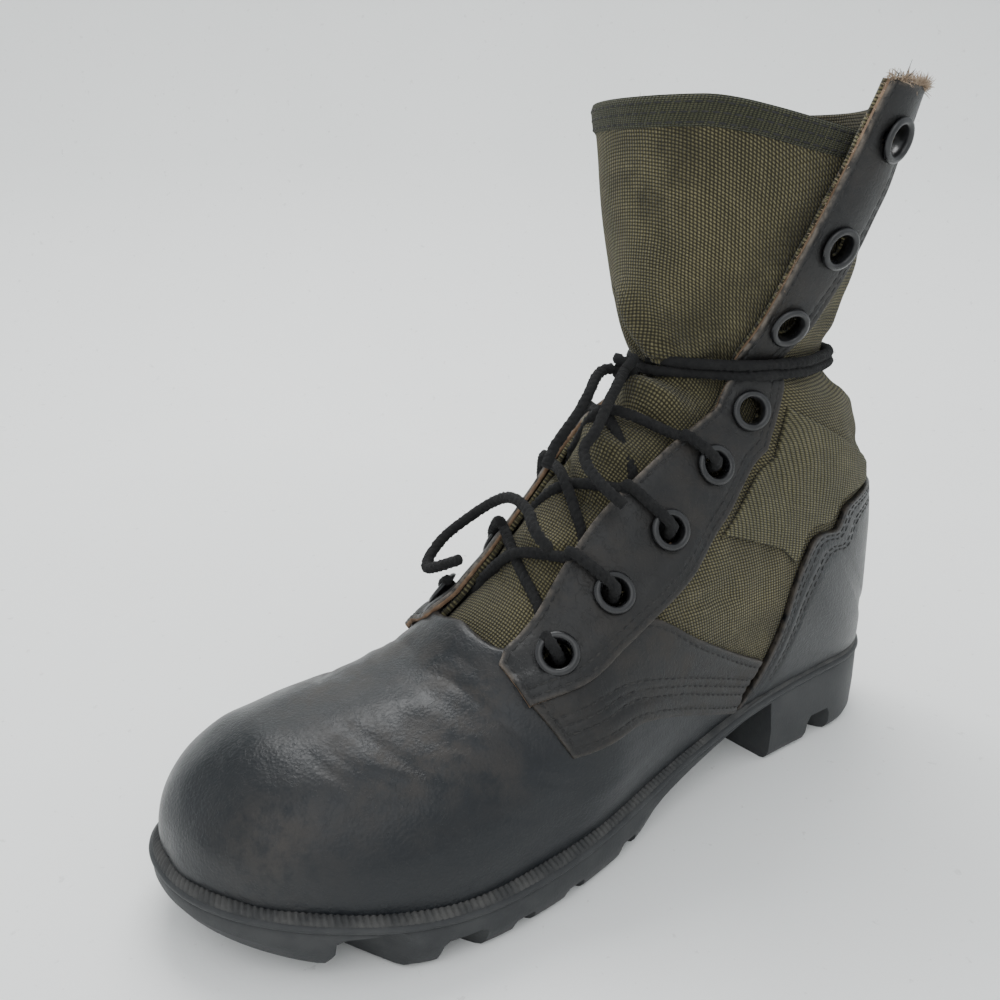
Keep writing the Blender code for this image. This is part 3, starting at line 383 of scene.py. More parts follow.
def tongue_points(u, t):
    """World points of the tongue's middle layer, t from the outer edge to the inner."""
    u, t = np.broadcast_arrays(np.asarray(u, float), np.asarray(t, float))
    push, outer, inner = (along(TONGUE, u, k)[..., None] * BALL_WIDTH for k in (1, 2, 3))
    base, tip = section_frame(u, "outer")[:2]
    middle = tip + unit(tip - base) * push
    ends = {}
    tuck = {"outer": along(TONGUE, u, 4), "inner": TONGUE_TUCK}
    for side in SIDES:
        a = throat_edge(u, side) - tuck[side]
        point = form(u, a, side) - outward(u, a, side) * TONGUE_UNDER
        ends[side] = np.stack((point[..., 0], HEEL_CENTRE - point[..., 1], point[..., 2]), -1)
    control = (middle * 8 - ends["outer"] - ends["inner"]) / 6
    control[..., 0] = 0
    sideways = np.array((1.0, 0, 0))
    t = t[..., None]
    x = (
        ends["outer"] * (1 - t) ** 3
        + (control + sideways * outer) * 3 * t * (1 - t) ** 2
        + (control - sideways * inner) * 3 * t * t * (1 - t)
        + ends["inner"] * t ** 3
    )
    return np.stack((x[..., 0], HEEL_CENTRE - x[..., 1], x[..., 2]), -1)


def eyelet_frame(u, side):
    """Centre on the form, outward normal and two directions in the surface."""
    share = along(EYELETS, u)
    a = float(eyestay_rear(u, side) * (1 - share) + throat_edge(u, side) * share)
    point = form(u, a, side)
    across = unit(form(u, a + 0.02, side) - form(u, a - 0.02, side))
    up = form(min(u + 0.1, LAST_ROW), a, side) - form(u - 0.1, a, side)
    up = unit(up - across * float(np.dot(up, across)))
    return point, unit(np.cross(up, across) * SIDES[side]), across, up


# Meshes


def ride(obj, slot, *nodes):
    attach(obj, "root")
    if nodes:
        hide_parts(*nodes)


def mesh_object(name, verts, faces, materials, face_materials=None, uv=None, masks=None):
    """A smooth-shaded object of points, quads or triangles, a UV and soft masks per point."""
    mesh = bpy.data.meshes.new(name)
    verts = [tuple(v) for v in np.asarray(verts, float)]
    mesh.from_pydata(verts, [], [tuple(int(i) for i in face) for face in faces])
    for made in materials:
        mesh.materials.append(made)
    if face_materials is not None:
        mesh.polygons.foreach_set("material_index", np.asarray(face_materials, np.int32))
    if uv is not None:
        layer = mesh.uv_layers.new(name="cloth")
        loops = np.empty(len(mesh.loops), np.int32)
        mesh.loops.foreach_get("vertex_index", loops)
        layer.data.foreach_set("uv", np.asarray(uv, np.float32)[loops].ravel())
    for key, values in (masks or {}).items():
        attribute = mesh.attributes.new(key, "FLOAT", "POINT")
        attribute.data.foreach_set("value", np.asarray(values, np.float32))
    smooth(mesh)
    mesh.update()
    obj = bpy.data.objects.new(name, mesh)
    bpy.context.scene.collection.objects.link(obj)
    return obj


def smooth(mesh):
    mesh.polygons.foreach_set("use_smooth", np.ones(len(mesh.polygons), bool))


def turn_out(obj, merge=0.0):
    """Turns the faces outwards, after joining points closer than merge."""
    bm = bmesh.new()
    bm.from_mesh(obj.data)
    if merge:
        bmesh.ops.remove_doubles(bm, verts=bm.verts, dist=merge)
    bmesh.ops.recalc_face_normals(bm, faces=bm.faces)
    bm.to_mesh(obj.data)
    bm.free()
    smooth(obj.data)
    return obj


def belt(rings, around):
    """Point numbers of rings of points, and the quads between them."""
    index = np.arange(rings * around).reshape(rings, around)
    after = np.roll(index, -1, axis=1)
    return index, np.stack((index[:-1], after[:-1], after[1:], index[1:]), -1).reshape(-1, 4)


def hoop(rings, around):
    """The quads between rings of points that close on the first ring."""
    index = np.arange(rings * around).reshape(rings, around)
    ahead = np.roll(index, -1, axis=0)
    return np.stack((index, ahead, np.roll(ahead, -1, axis=1), np.roll(index, -1, axis=1)), -1).reshape(-1, 4)


def run_of(points, axis=0):
    """Distance run along points, from 0 at the first."""
    steps = np.linalg.norm(np.diff(points, axis=axis), axis=-1)
    start = np.zeros_like(np.take(steps, [0], axis=axis))
    return np.concatenate((start, np.cumsum(steps, axis=axis)), axis=axis)


def grid_normals(points, facing):
    """Unit normals of a grid of points on the facing side, filled in where a row shrinks to a point."""
    normal = np.cross(np.gradient(points, axis=0), np.gradient(points, axis=1))
    size = np.linalg.norm(normal, axis=-1)
    weak = size < 1e-11
    normal = normal / np.maximum(size, 1e-14)[..., None]
    normal = normal * np.sign(np.sum(np.sum(normal * facing, -1)[~weak]))
    for i in range(1, len(points)):
        normal[i][weak[i]] = normal[i - 1][weak[i]]
    for i in range(len(points) - 2, -1, -1):
        normal[i][weak[i]] = normal[i + 1][weak[i]]
    return normal


class Grid:
    """A grid of points on the form, with normals and the distances in metres from its four borders."""

    def __init__(self, points, facing, seam=None):
        self.points = points
        self.seam = seam
        if seam is None:
            self.normals = grid_normals(points, facing)
        else:
            halves = [
                grid_normals(points[:, part], facing[:, part]) for part in (slice(seam), slice(seam, None))
            ]
            self.normals = np.concatenate(halves, axis=1)
            self.joined = np.linalg.norm(points[:, seam - 1] - points[:, seam], axis=-1) < SEAM_JOIN
            mean = unit(self.normals[:, seam - 1] + self.normals[:, seam])
            for j in (seam - 1, seam):
                self.normals[self.joined, j] = mean[self.joined]
        self.low = run_of(points, 1)
        self.high = self.low[:, -1:] - self.low
        self.start = run_of(points, 0)
        self.end = self.start[-1:] - self.start
        self.sides = np.minimum(self.low, self.high)
        self.ends = np.minimum(self.start, self.end)
        self.border = np.minimum(self.sides, self.ends)
        self.top = np.zeros(points.shape[:2])

    def raised(self):
        return self.points + self.normals * self.top[..., None]

    def line(self, border, distance, first=0.0, last=1.0):
        """Points and normals on top of the grid along a border, that far from it."""
        tables = getattr(self, border), self.raised(), self.normals
        if border in ("start", "end"):
            tables = [table.swapaxes(0, 1) for table in tables]
        if border in ("high", "end"):
            tables = [table[:, ::-1] for table in tables]
        away, raised, normals = tables
        points, facing = [], []
        for i in range(int(first * (len(away) - 1)), int(last * (len(away) - 1)) + 1):
            if away[i, -1] >= distance:
                points.append([np.interp(distance, away[i], raised[i, :, k]) for k in range(3)])
                facing.append([np.interp(distance, away[i], normals[i, :, k]) for k in range(3)])
        return np.array(points), np.array(facing)


def shell(name, grid, bottom, materials, dust, wear=0.0, keep=None, uv=None, inner_material=0,
          edge_material=0, ride_on=()):
    """A closed shell between a grid's top and a level below it; dropped cells leave clean holes."""
    n, m = grid.points.shape[:2]
    size = n * m
    outer = grid.raised().reshape(-1, 3)
    inner = (grid.points + grid.normals * np.broadcast_to(bottom, (n, m))[..., None]).reshape(-1, 3)
    cells = np.ones((n - 1, m - 1), bool) if keep is None else keep.copy()
    if grid.seam is not None:
        cells[:, grid.seam - 1] = False
    index = np.arange(size).reshape(n, m)
    quads = np.stack((index[:-1, :-1], index[:-1, 1:], index[1:, 1:], index[1:, :-1]), -1)[cells]
    first, second, last = outer[quads[:, 0]], outer[quads[:, 1]], outer[quads[:, 3]]
    if np.sum(np.cross(second - first, last - first) * grid.normals.reshape(-1, 3)[quads[:, 0]]) < 0:
        quads = quads[:, ::-1]
    if grid.seam is not None:
        left, right = (index[grid.joined, j] for j in (grid.seam - 1, grid.seam))
        lookup = np.arange(size)
        for table in (lookup, outer, inner):
            table[right] = table[left]
        quads = lookup[quads]
    edges = np.concatenate([quads[:, (k, (k + 1) % 4)] for k in range(4)])
    edges = edges[edges[:, 0] != edges[:, 1]]
    key = np.min(edges, axis=1).astype(np.int64) * size + np.max(edges, axis=1)
    back, count = np.unique(key, return_inverse=True, return_counts=True)[1:]
    rim = edges[count[back] == 1]
    walls = np.stack((rim[:, 1], rim[:, 0], rim[:, 0] + size, rim[:, 1] + size), -1)
    faces = np.concatenate((quads, quads[:, ::-1] + size, walls))
    kinds = np.repeat((0, inner_material, edge_material), (len(quads), len(quads), len(walls)))
    used = np.unique(faces)
    renumber = np.full(2 * size, -1)
    renumber[used] = np.arange(len(used))

    def both(values, width):
        values = np.broadcast_to(values, (n, m, width)).reshape(size, width)
        return np.concatenate((values, values))[used]

    clean = [list(dict.fromkeys(int(i) for i in face)) for face in renumber[faces]]
    whole = np.array([len(face) > 2 for face in clean])
    masks = {"dust": dust, "wear": wear}
    made = mesh_object(
        name,
        np.concatenate((outer, inner))[used],
        [face for face in clean if len(face) > 2],
        materials,
        kinds[whole],
        None if uv is None else both(uv, 2),
        {key: both(np.asarray(mask, float)[..., None], 1)[:, 0] for key, mask in masks.items()},
    )
    ride(made, *ride_on)


def eased(count, edge, width):
    """Shares from 0 to 1, with close lines at both ends for a rounded edge; edge and width in metres."""
    near = np.array((0, 0.12, 0.35, 0.7, 1.0)) * edge / width
    middle = np.linspace(near[-1], 1 - near[-1], count)
    return np.concatenate((near[:-1], middle, 1 - near[:-1][::-1]))


def round_edge(distance, radius):
    """How far a rounded edge falls at that distance from it."""
    t = np.clip(distance / radius, 0, 1)
    return radius * (1 - np.sqrt(np.maximum(1 - (1 - t) ** 2, 0)))


def ease_in(value, width):
    t = np.clip(value / width, 0, 1)
    return t * t * (3 - 2 * t)


def trough(distance, at, width, depth):
    return -depth * np.exp(-(((distance - at) / width) ** 2))


def smooth_noise(points, size, seed):
    """Soft noise between -1 and 1 at points, with bumps of about that size."""
    rng = np.random.RandomState(seed)
    total = np.zeros(points.shape[:-1])
    for _ in range(7):
        way = unit(rng.normal(size=3)) * (2 * math.pi / size) * rng.uniform(0.6, 1.5)
        total += np.sin(points @ way + rng.uniform(0, 6.3))
    return total / 3.5


def form_grid(u, a, side):
    return Grid(form(u, a, side), outward(u, a, side))


def panel_grid(side, low_edge, high_edge, steps, shares):
    """A grid on the form between two edges that are tables of row and share."""
    t = np.asarray(steps)[:, None]
    k = np.asarray(shares)[None, :]
    u_low, u_high = (edge[0][0] + (edge[-1][0] - edge[0][0]) * t for edge in (low_edge, high_edge))
    a_low, a_high = along(low_edge, u_low), along(high_edge, u_high)
    u = u_low + (u_high - u_low) * k
    a = a_low + (a_high - a_low) * k
    return form_grid(u, a, side), u, a


def both_sides(rows, edge, columns):
    """A grid round the back from the outer edge to the inner one, with a seam in the middle."""
    u = np.asarray(rows)[:, None]
    k = np.asarray(columns)[None, :]
    parts, faces = [], []
    for side in SIDES:
        a = edge(u, side) * (1 - k)
        if side == "inner":
            a = a[:, ::-1]
        parts.append(form(u, a, side))
        faces.append(outward(u, np.clip(a, 0.02, 0.98), side))
    return Grid(np.concatenate(parts, 1), np.concatenate(faces, 1), seam=k.shape[1])


def equal_rows(first, last, share, side, step):
    """Rows between two, spaced evenly in metres along that share of the form."""
    u = np.linspace(first, last, 1200)
    length = run_of(form(u, share, side))
    count = max(int(length[-1] / step), 4)
    return np.interp(np.linspace(0, length[-1], count + 1), length, u)


def eyelet_holes(points, radius):
    """True for the cells of a grid of points that lie clear of every eyelet's hole."""
    middle = (points[:-1, :-1] + points[1:, 1:]) / 2
    keep = np.ones(middle.shape[:2], bool)
    for side in SIDES:
        for u in EYELET_ROWS:
            point, normal = eyelet_frame(u, side)[:2]
            gap = middle - point
            deep = gap @ normal
            flat = np.linalg.norm(gap - deep[..., None] * normal, axis=-1)
            keep &= ~((flat < radius) & (np.abs(deep) < 0.008))
    return keep


# Finishes


class Finish:
    """A material's nodes, made by short calls."""

    def __init__(self, name):
        self.material = bpy.data.materials.new(name)
        self.material.use_nodes = True
        self.tree = self.material.node_tree
        self.shader = self.tree.nodes["Principled BSDF"]
        coords = self.tree.nodes.new("ShaderNodeTexCoord")
        self.place, self.cloth = coords.outputs["Object"], coords.outputs["UV"]

    def node(self, kind, **values):
        """A node with those sockets set or linked."""
        made = self.tree.nodes.new("ShaderNode" + kind)
        for key, value in values.items():
            self.put(made.inputs[key.replace("_", " ")], value)
        return made

    def put(self, socket, value):
        if hasattr(value, "links"):
            self.tree.links.new(value, socket)
        else:
            socket.default_value = value

    def set(self, **values):
        for key, value in values.items():
            self.put(self.shader.inputs[key.replace("_", " ")], value)

    def fixed(self, **values):
        """Values that are the same all over the surface."""
        for key, value in values.items():
            self.shader.inputs[key.replace("_", " ")].default_value = value

    def math(self, kind, a, b=None):
        node = self.tree.nodes.new("ShaderNodeMath")
        node.operation = kind
        self.put(node.inputs[0], a)
        if b is not None:
            self.put(node.inputs[1], b)
        return node.outputs[0]

    def times(self, a, b):
        return self.math("MULTIPLY", a, b)

    def plus(self, first, *more):
        for value in more:
            first = self.math("ADD", first, value)
        return first

    def noise(self, size, detail=3.0, rough=0.55, place=None, stretch=None, warp=0.0):
        source = place or self.place
        if stretch:
            source = self.node("Mapping", Scale=stretch, Vector=source).outputs[0]
        return self.node(
            "TexNoise", Scale=1.0 / size, Detail=detail, Roughness=rough, Distortion=warp, Vector=source
        ).outputs[0]

    def cells(self, size):
        return self.node("TexVoronoi", Scale=1.0 / size, Vector=self.place).outputs["Distance"]

    def steps(self, value, low, high, out_low=0.0, out_high=1.0):
        node = self.node("MapRange", Value=value)
        node.interpolation_type = "SMOOTHSTEP"
        for key, number in (("From Min", low), ("From Max", high), ("To Min", out_low), ("To Max", out_high)):
            node.inputs[key].default_value = number
        return node.outputs[0]

    def mix(self, share, a, b):
        node = self.tree.nodes.new("ShaderNodeMix")
        node.data_type = "RGBA"
        self.put(node.inputs[0], share)
        for socket, value in ((node.inputs[6], a), (node.inputs[7], b)):
            self.put(socket, (*value, 1.0) if isinstance(value, tuple) else value)
        return node.outputs[2]

    def choose(self, share, a, b):
        """The same for numbers."""
        node = self.tree.nodes.new("ShaderNodeMix")
        node.data_type = "FLOAT"
        for socket, value in zip((node.inputs[0], node.inputs[2], node.inputs[3]), (share, a, b)):
            self.put(socket, value)
        return node.outputs[0]

    def mask(self, name):
        node = self.tree.nodes.new("ShaderNodeAttribute")
        node.attribute_name = name
        return node.outputs["Fac"]

    def bump(self, height, distance, strength=1.0):
        return self.node("Bump", Distance=distance, Strength=strength, Height=height).outputs[0]

    def split(self, vector):
        return self.node("SeparateXYZ", Vector=vector).outputs


def leather(name, base, pale, dusty, gloss, crackle, dust_share):
    """Worn black leather: fine grain, cracks, dust by the dust mask and bare edges by the wear mask."""
    f = Finish(name)
    broad = f.noise(0.045, 4, 0.6)
    fine = f.noise(0.0035, 4, 0.65)
    specks = f.noise(0.0012, 3, 0.7)
    tone = f.mix(f.steps(broad, 0.35, 0.7), base, pale)
    dust = f.times(f.mask("dust"), f.steps(f.noise(0.009, 6, 0.7), 0.36, 0.66))
    dust = f.plus(dust, f.times(f.steps(fine, 0.55, 0.78), dust_share * 0.35))
    dust = f.math("MINIMUM", dust, 1.0)
    tone = f.mix(dust, tone, dusty)
    tone = f.mix(f.times(f.mask("wear"), f.steps(fine, 0.30, 0.62)), tone, BARE_LEATHER)
    tone = f.mix(f.times(f.steps(specks, 0.70, 0.78), 0.22), tone, DUST_SPECKS)
    rough = f.plus(f.times(broad, 0.12), gloss - 0.06)
    rough = f.plus(rough, f.times(dust, 0.20), f.times(fine, 0.10))
    creases = f.math("ABSOLUTE", f.math("SUBTRACT", f.noise(0.006, 5, 0.6, warp=0.6), 0.5))
    height = f.plus(f.times(f.cells(LEATHER_GRAIN), 0.35), f.times(specks, 0.3))
    height = f.plus(height, f.times(f.steps(creases, 0.0, 0.03), crackle))
    f.set(Base_Color=tone, Roughness=rough, Normal=f.bump(height, 0.00026, 0.8))
    f.fixed(Specular_IOR_Level=0.38)
    return f.material


def weave(f, pitch):
    """A plain weave's height, and which threads lie on top, from the cloth's UV in metres."""
    wobble = f.noise(0.02, 2, 0.5, place=f.cloth)
    x, y = (
        f.plus(f.math("DIVIDE", way, size), f.times(wobble, 1.2))
        for way, size in zip(f.split(f.cloth), pitch)
    )
    across, down = (
        f.math("COSINE", f.times(f.math("SUBTRACT", f.math("FRACT", way), 0.5), math.pi)) for way in (x, y)
    )
    parity = f.math("ABSOLUTE", f.math("MODULO", f.plus(f.math("FLOOR", x), f.math("FLOOR", y)), 2.0))
    warp, weft = (
        f.times(f.math("POWER", one, 0.7), f.plus(f.times(other, 0.6), 0.4))
        for one, other in ((across, down), (down, across))
    )
    return f.choose(parity, warp, weft), parity


def canvas(name, deep, bright, dark, pitch=(0.00120, 0.00110), slub_tone_and_highlight=0.75):
    """Worn cotton duck: a plain weave with uneven threads, a painted highlight on the threads' high spots,
    painted shade in the hollows between them, and grimy patches.
    """
    f = Finish(name)
    height, parity = weave(f, pitch)
    slubs = [
        f.noise(0.0016, 3, 0.6, place=f.cloth, stretch=way) for way in ((1.0, 0.12, 1.0), (0.12, 1.0, 1.0))
    ]
    thread = f.choose(parity, *slubs)
    tone = f.mix(f.steps(f.noise(0.030, 5, 0.62), 0.32, 0.68), deep, bright)
    tone = f.mix(f.times(f.steps(thread, 0.46, 0.78), slub_tone_and_highlight * 0.55), tone, (0.260, 0.232, 0.130))
    # painted highlight: the weave's high spots are lightened towards a pale tan
    tone = f.mix(f.times(f.steps(height, 0.66, 0.98), slub_tone_and_highlight * 0.6), tone, (0.250, 0.228, 0.130))
    # painted shade: the hollows between the threads are darkened
    tone = f.mix(f.times(f.steps(height, 0.30, 0.80, 1.0, 0.0), 0.90), tone, dark)
    grime = f.times(f.mask("dust"), f.steps(f.noise(0.014, 5, 0.65), 0.34, 0.62))
    tone = f.mix(f.times(grime, 0.75), tone, dark)
    tall = f.plus(height, f.times(f.noise(0.0007, 2, 0.7), 0.35), f.times(thread, 0.5))
    f.set(Base_Color=tone, Normal=f.bump(tall, 0.00060, 1.0))
    f.fixed(Roughness=0.93, Specular_IOR_Level=0.18, Sheen_Weight=0.10)
    return f.material


def plain(name, tone, other, rough, size, relief, fine=0.0009):
    """A mottled solid finish with a fine relief."""
    f = Finish(name)
    blotch = f.noise(size, 4, 0.6)
    grit = f.noise(fine, 3, 0.65)
    colour = f.mix(f.steps(blotch, 0.35, 0.70), tone, other)
    f.set(Base_Color=colour, Normal=f.bump(f.plus(grit, f.times(blotch, 0.6)), relief, 0.8))
    f.set(Roughness=f.plus(f.times(blotch, 0.25), rough - 0.12))
    return f.material


BARE_LEATHER = (0.135, 0.112, 0.090)
DUST_SPECKS = (0.20, 0.19, 0.18)
LEATHER_GRAIN = 0.0011


VAMP_LEATHER = leather(
    "vamp_leather", (0.0036, 0.0052, 0.0072), (0.0064, 0.0080, 0.0102),
    (0.0260, 0.0225, 0.0195), 0.33, 0.14, 0.10
)
PANEL_LEATHER = leather(
    "panel_leather", (0.0042, 0.0044, 0.0048), (0.0080, 0.0078, 0.0076),
    (0.0240, 0.0205, 0.0170), 0.42, 0.30, 0.30
)
COUNTER_LEATHER = leather(
    "counter_leather", (0.0040, 0.0055, 0.0072), (0.0072, 0.0088, 0.0106),
    (0.0240, 0.0215, 0.0190), 0.34, 0.16,
    0.12,
)
CANVAS = canvas("canvas_weave", (0.070, 0.063, 0.030), (0.112, 0.098, 0.048), (0.016, 0.014, 0.008))
LINING = canvas("lining_weave", (0.075, 0.068, 0.042), (0.110, 0.098, 0.062), (0.024, 0.021, 0.014), slub_tone_and_highlight=0.3)
WEBBING_CLOTH = canvas(
    "webbing_weave", (0.088, 0.083, 0.040), (0.130, 0.118, 0.060), (0.018, 0.017, 0.010), (0.0015, 0.0009)
)
TAPE = canvas(
    "tape_weave", (0.042, 0.046, 0.024), (0.066, 0.068, 0.036), (0.014, 0.015, 0.009), (0.0012, 0.0006), 0.3
)
RAW_EDGE = plain("raw_edge", (0.155, 0.092, 0.052), (0.260, 0.170, 0.105), 0.85, 0.003, 0.0003)
RUBBER = plain("sole_rubber", (0.0120, 0.0132, 0.0148), (0.0260, 0.0272, 0.0280), 0.56, 0.012, 0.00018)
ENAMEL = plain("ring_enamel", (0.0060, 0.0062, 0.0070), (0.0150, 0.0150, 0.0160), 0.30, 0.006, 0.00005)
THREAD = plain("stitch_thread", (0.0100, 0.0100, 0.0105), (0.0260, 0.0250, 0.0230),
               0.85, 0.003, 0.0001, 0.0003)
LACE = plain("lace_cotton", (0.0035, 0.0035, 0.0040), (0.0100, 0.0098, 0.0096), 0.97, 0.003, 0.0005, 0.0003)
TAN_FRAY = plain("tan_fray", (0.280, 0.205, 0.140), (0.380, 0.300, 0.220), 0.92, 0.002, 0.0002)
SOCK = plain("sock_fabric", (0.060, 0.055, 0.040), (0.095, 0.086, 0.062), 0.92, 0.01, 0.0003)
RUBBER_DUSTY = plain("welt_rubber", (0.0150, 0.0158, 0.0165), (0.0500, 0.0490, 0.0470), 0.70, 0.009, 0.00025)

STITCHES = {}
STITCH_LENGTH = 0.0027
STITCH_PITCH = 0.0034
STITCH_SINK = 0.0001


def read_line(table, run, at):
    """The points of a line at those distances along it."""
    return np.stack([np.interp(at, run, table[:, k]) for k in range(3)], -1)


def stitch_row(group, points, normals, width=0.00075):
    """Short rounded stitches along a line, kept until their group is made."""
    run = run_of(points)
    if run[-1] < STITCH_PITCH * 1.5:
        return
    count = int(run[-1] / STITCH_PITCH)
    at = (np.arange(count) + 0.5) * run[-1] / count
    middle, normal = read_line(points, run, at), unit(read_line(normals, run, at))
    ahead, behind = np.minimum(at + 0.0008, run[-1]), np.maximum(at - 0.0008, 0)
    way = unit(read_line(points, run, ahead) - read_line(points, run, behind))
    STITCHES.setdefault(group, []).append(
        (middle - normal * STITCH_SINK, way, unit(np.cross(normal, way)), normal, width)
    )


def make_stitches(name):
    """One mesh of all the stitches of a group."""
    rings = [(-0.5, 0.0), (-0.40, 0.75), (0.0, 1.0), (0.40, 0.75), (0.5, 0.0)]
    around = 6
    size = len(rings) * around
    pattern = belt(len(rings), around)[1]
    verts, faces, base = [], [], 0
    for middle, way, side, normal, width in STITCHES[name]:
        layers = []
        for t, r in rings:
            for k in range(around):
                turn = 2 * math.pi * k / around
                layers.append(
                    middle + way * t * STITCH_LENGTH
                    + side * (r * width * math.cos(turn)) * 0.5 * 1.4
                    + normal * (r * width * math.sin(turn)) * 0.5
                )
        verts.append(np.stack(layers, 1).reshape(-1, 3))
        first = base + np.arange(len(middle)) * size
        faces.append((pattern[None] + first[:, None, None]).reshape(-1, 4))
        base += len(middle) * size
    return turn_out(mesh_object(name, np.concatenate(verts), np.concatenate(faces), [THREAD]), 0.00002)


def catmull(points, step):
    """A smooth line through points, with points that step apart."""
    p = np.asarray(points, float)
    p = np.concatenate((2 * p[:1] - p[1:2], p, 2 * p[-1:] - p[-2:-1]))
    out = []
    for i in range(1, len(p) - 2):
        t = np.linspace(0, 1, 24, endpoint=False)[:, None]
        a, b, c, d = p[i - 1:i + 3]
        curve = 2 * b + (c - a) * t + (2 * a - 5 * b + 4 * c - d) * t * t + (3 * b - a - 3 * c + d) * t ** 3
        out.append(0.5 * curve)
    out = np.concatenate(out + [p[-2:-1]])
    run = run_of(out)
    return read_line(out, run, np.linspace(0, run[-1], max(int(run[-1] / step), 3) + 1))


def braid(name, points, step=0.0005):
    """A braided round lace along points."""
    path = catmull(points, step)
    n, around = len(path), 12
    way = unit(np.gradient(path, axis=0))
    side = np.empty_like(path)
    start = np.cross(way[0], (0.0, 0.0, 1.0))
    side[0] = unit(start if np.linalg.norm(start) > 0.1 else np.cross(way[0], (1.0, 0.0, 0.0)))
    for i in range(1, n):
        side[i] = unit(side[i - 1] - way[i] * np.dot(side[i - 1], way[i]))
    up = np.cross(way, side)
    turn = (2 * math.pi * np.arange(around) / around)[None, :]
    twist = np.arange(n)[:, None] * step * (2 * math.pi / BRAID_TURN)
    relief = 0.16 * np.abs(np.sin(1.5 * turn + twist)) + 0.16 * np.abs(np.sin(1.5 * turn - twist)) - 0.20
    fuzz = np.random.RandomState(n).uniform(-0.07, 0.08, (n, around))
    size = BRAID_RADIUS * (0.98 + relief + fuzz)
    rings = path[:, None] + side[:, None] * (np.cos(turn) * size)[..., None]
    rings = rings + up[:, None] * (np.sin(turn) * size)[..., None]
    index, quads = belt(n, around)
    after = np.roll(index, -1, axis=1)
    caps = [(after[0, k], index[0, k], n * around) for k in range(around)]
    caps += [(index[-1, k], after[-1, k], n * around + 1) for k in range(around)]
    verts = np.concatenate((rings.reshape(-1, 3), path[:1], path[-1:]))
    return mesh_object(name, verts, [tuple(q) for q in quads] + caps, [LACE]), path


# Sole
CHANNELS = [
    # centre and width as shares of the sole's length, slant in degrees
    (0.918, 0.042, 30), (0.836, 0.040, 30), (0.752, 0.026, 27), (0.668, 0.028, 24), (0.562, 0.028, 20),
    (0.183, 0.044, 24), (0.070, 0.030, 30),
]
CHANNEL_DEPTH = {True: 0.0112, False: 0.0048}  # in the heel and in the forefoot
SOLE_STATIONS = 130
SOLE_RINGS = [
    # inset, share of the way from the tread up to the rim, height above that
    (0.0054, 0.0, 0.0), (0.0036, 0.0, 0.0005), (0.0023, 0.0, 0.0018), (0.0014, 0.0, 0.0042),
    (0.0008, 0.5, -0.0030), (0.0007, 1.0, -0.0062), (0.0012, 1.0, -0.0056), (0.0004, 1.0, -0.0050),
    (0.0000, 1.0, -0.0044), (0.0002, 1.0, -0.0036), (0.0009, 1.0, -0.0031), (0.0050, 1.0, -0.0008),
    (0.0090, 1.0, -0.0008),
]
BEAD_PITCH = 0.00205
BEAD_SLANT = 1.5
RIBBED_FROM = 0.110


def sole_stations(inset):
    s = SOLE_LENGTH * (1 - np.cos(math.pi * np.arange(SOLE_STATIONS + 1) / SOLE_STATIONS)) / 2
    s = s[np.abs(s - BREAST) > 0.0018]
    s = s + inset * (1 - 2 * s / SOLE_LENGTH) * np.minimum(np.abs(s - BREAST) / 0.02, 1)
    return np.sort(np.concatenate((s, (BREAST, BREAST + 0.0012))))


def sole_ring(inset, share, lift):
    s = sole_stations(inset)
    centre, half = outline(s, inset)
    z = tread_height(s) * (1 - share) + rim_height(s) * share + lift
    outer, inner = (np.stack((centre + way * half, HEEL_CENTRE - s, z), -1) for way in (1, -1))
    return np.concatenate((outer, inner[1:-1][::-1]))


def make_sole():
    """The sole's body with its cut channels."""
    rings = [sole_ring(*row) for row in SOLE_RINGS]
    count = len(rings[0])
    index, quads = belt(len(rings), count)
    faces = [tuple(q) for q in quads]
    for ring, flip in ((index[0], True), (index[-1], False)):
        for i in range(count // 2):
            quad = [ring[i], ring[i + 1], ring[-i - 1], ring[-i]] if i else [ring[0], ring[1], ring[-1]]
            quad = list(dict.fromkeys(int(v) for v in quad))
            if len(quad) > 2:
                faces.append(tuple(quad[::-1] if flip else quad))
    body = turn_out(mesh_object("sole_body", np.concatenate(rings), faces, [RUBBER]))
    cutters = [
        channel_cutter(share * SOLE_LENGTH, width * SOLE_LENGTH, slant, side)
        for share, width, slant in CHANNELS for side in (1, -1)
    ]
    for cutter in cutters:
        cut = body.modifiers.new("cut", "BOOLEAN")
        cut.operation = "DIFFERENCE"
        cut.solver = "EXACT"
        cut.object = cutter
    bpy.context.view_layer.update()
    cut_body = body.evaluated_get(bpy.context.evaluated_depsgraph_get())
    made = bpy.data.meshes.new_from_object(cut_body)
    body.modifiers.clear()
    body.data = made
    for cutter in cutters:
        bpy.data.objects.remove(cutter, do_unlink=True)
    smooth(made)
    soften = body.modifiers.new("edges", "BEVEL")
    soften.width = 0.0007
    soften.segments = 2
    soften.limit_method = "ANGLE"
    soften.angle_limit = math.radians(48)
    soften.use_clamp_overlap = True
    made.set_sharp_from_angle(angle=math.radians(50))
    ride(body, "rubber", "outsole")


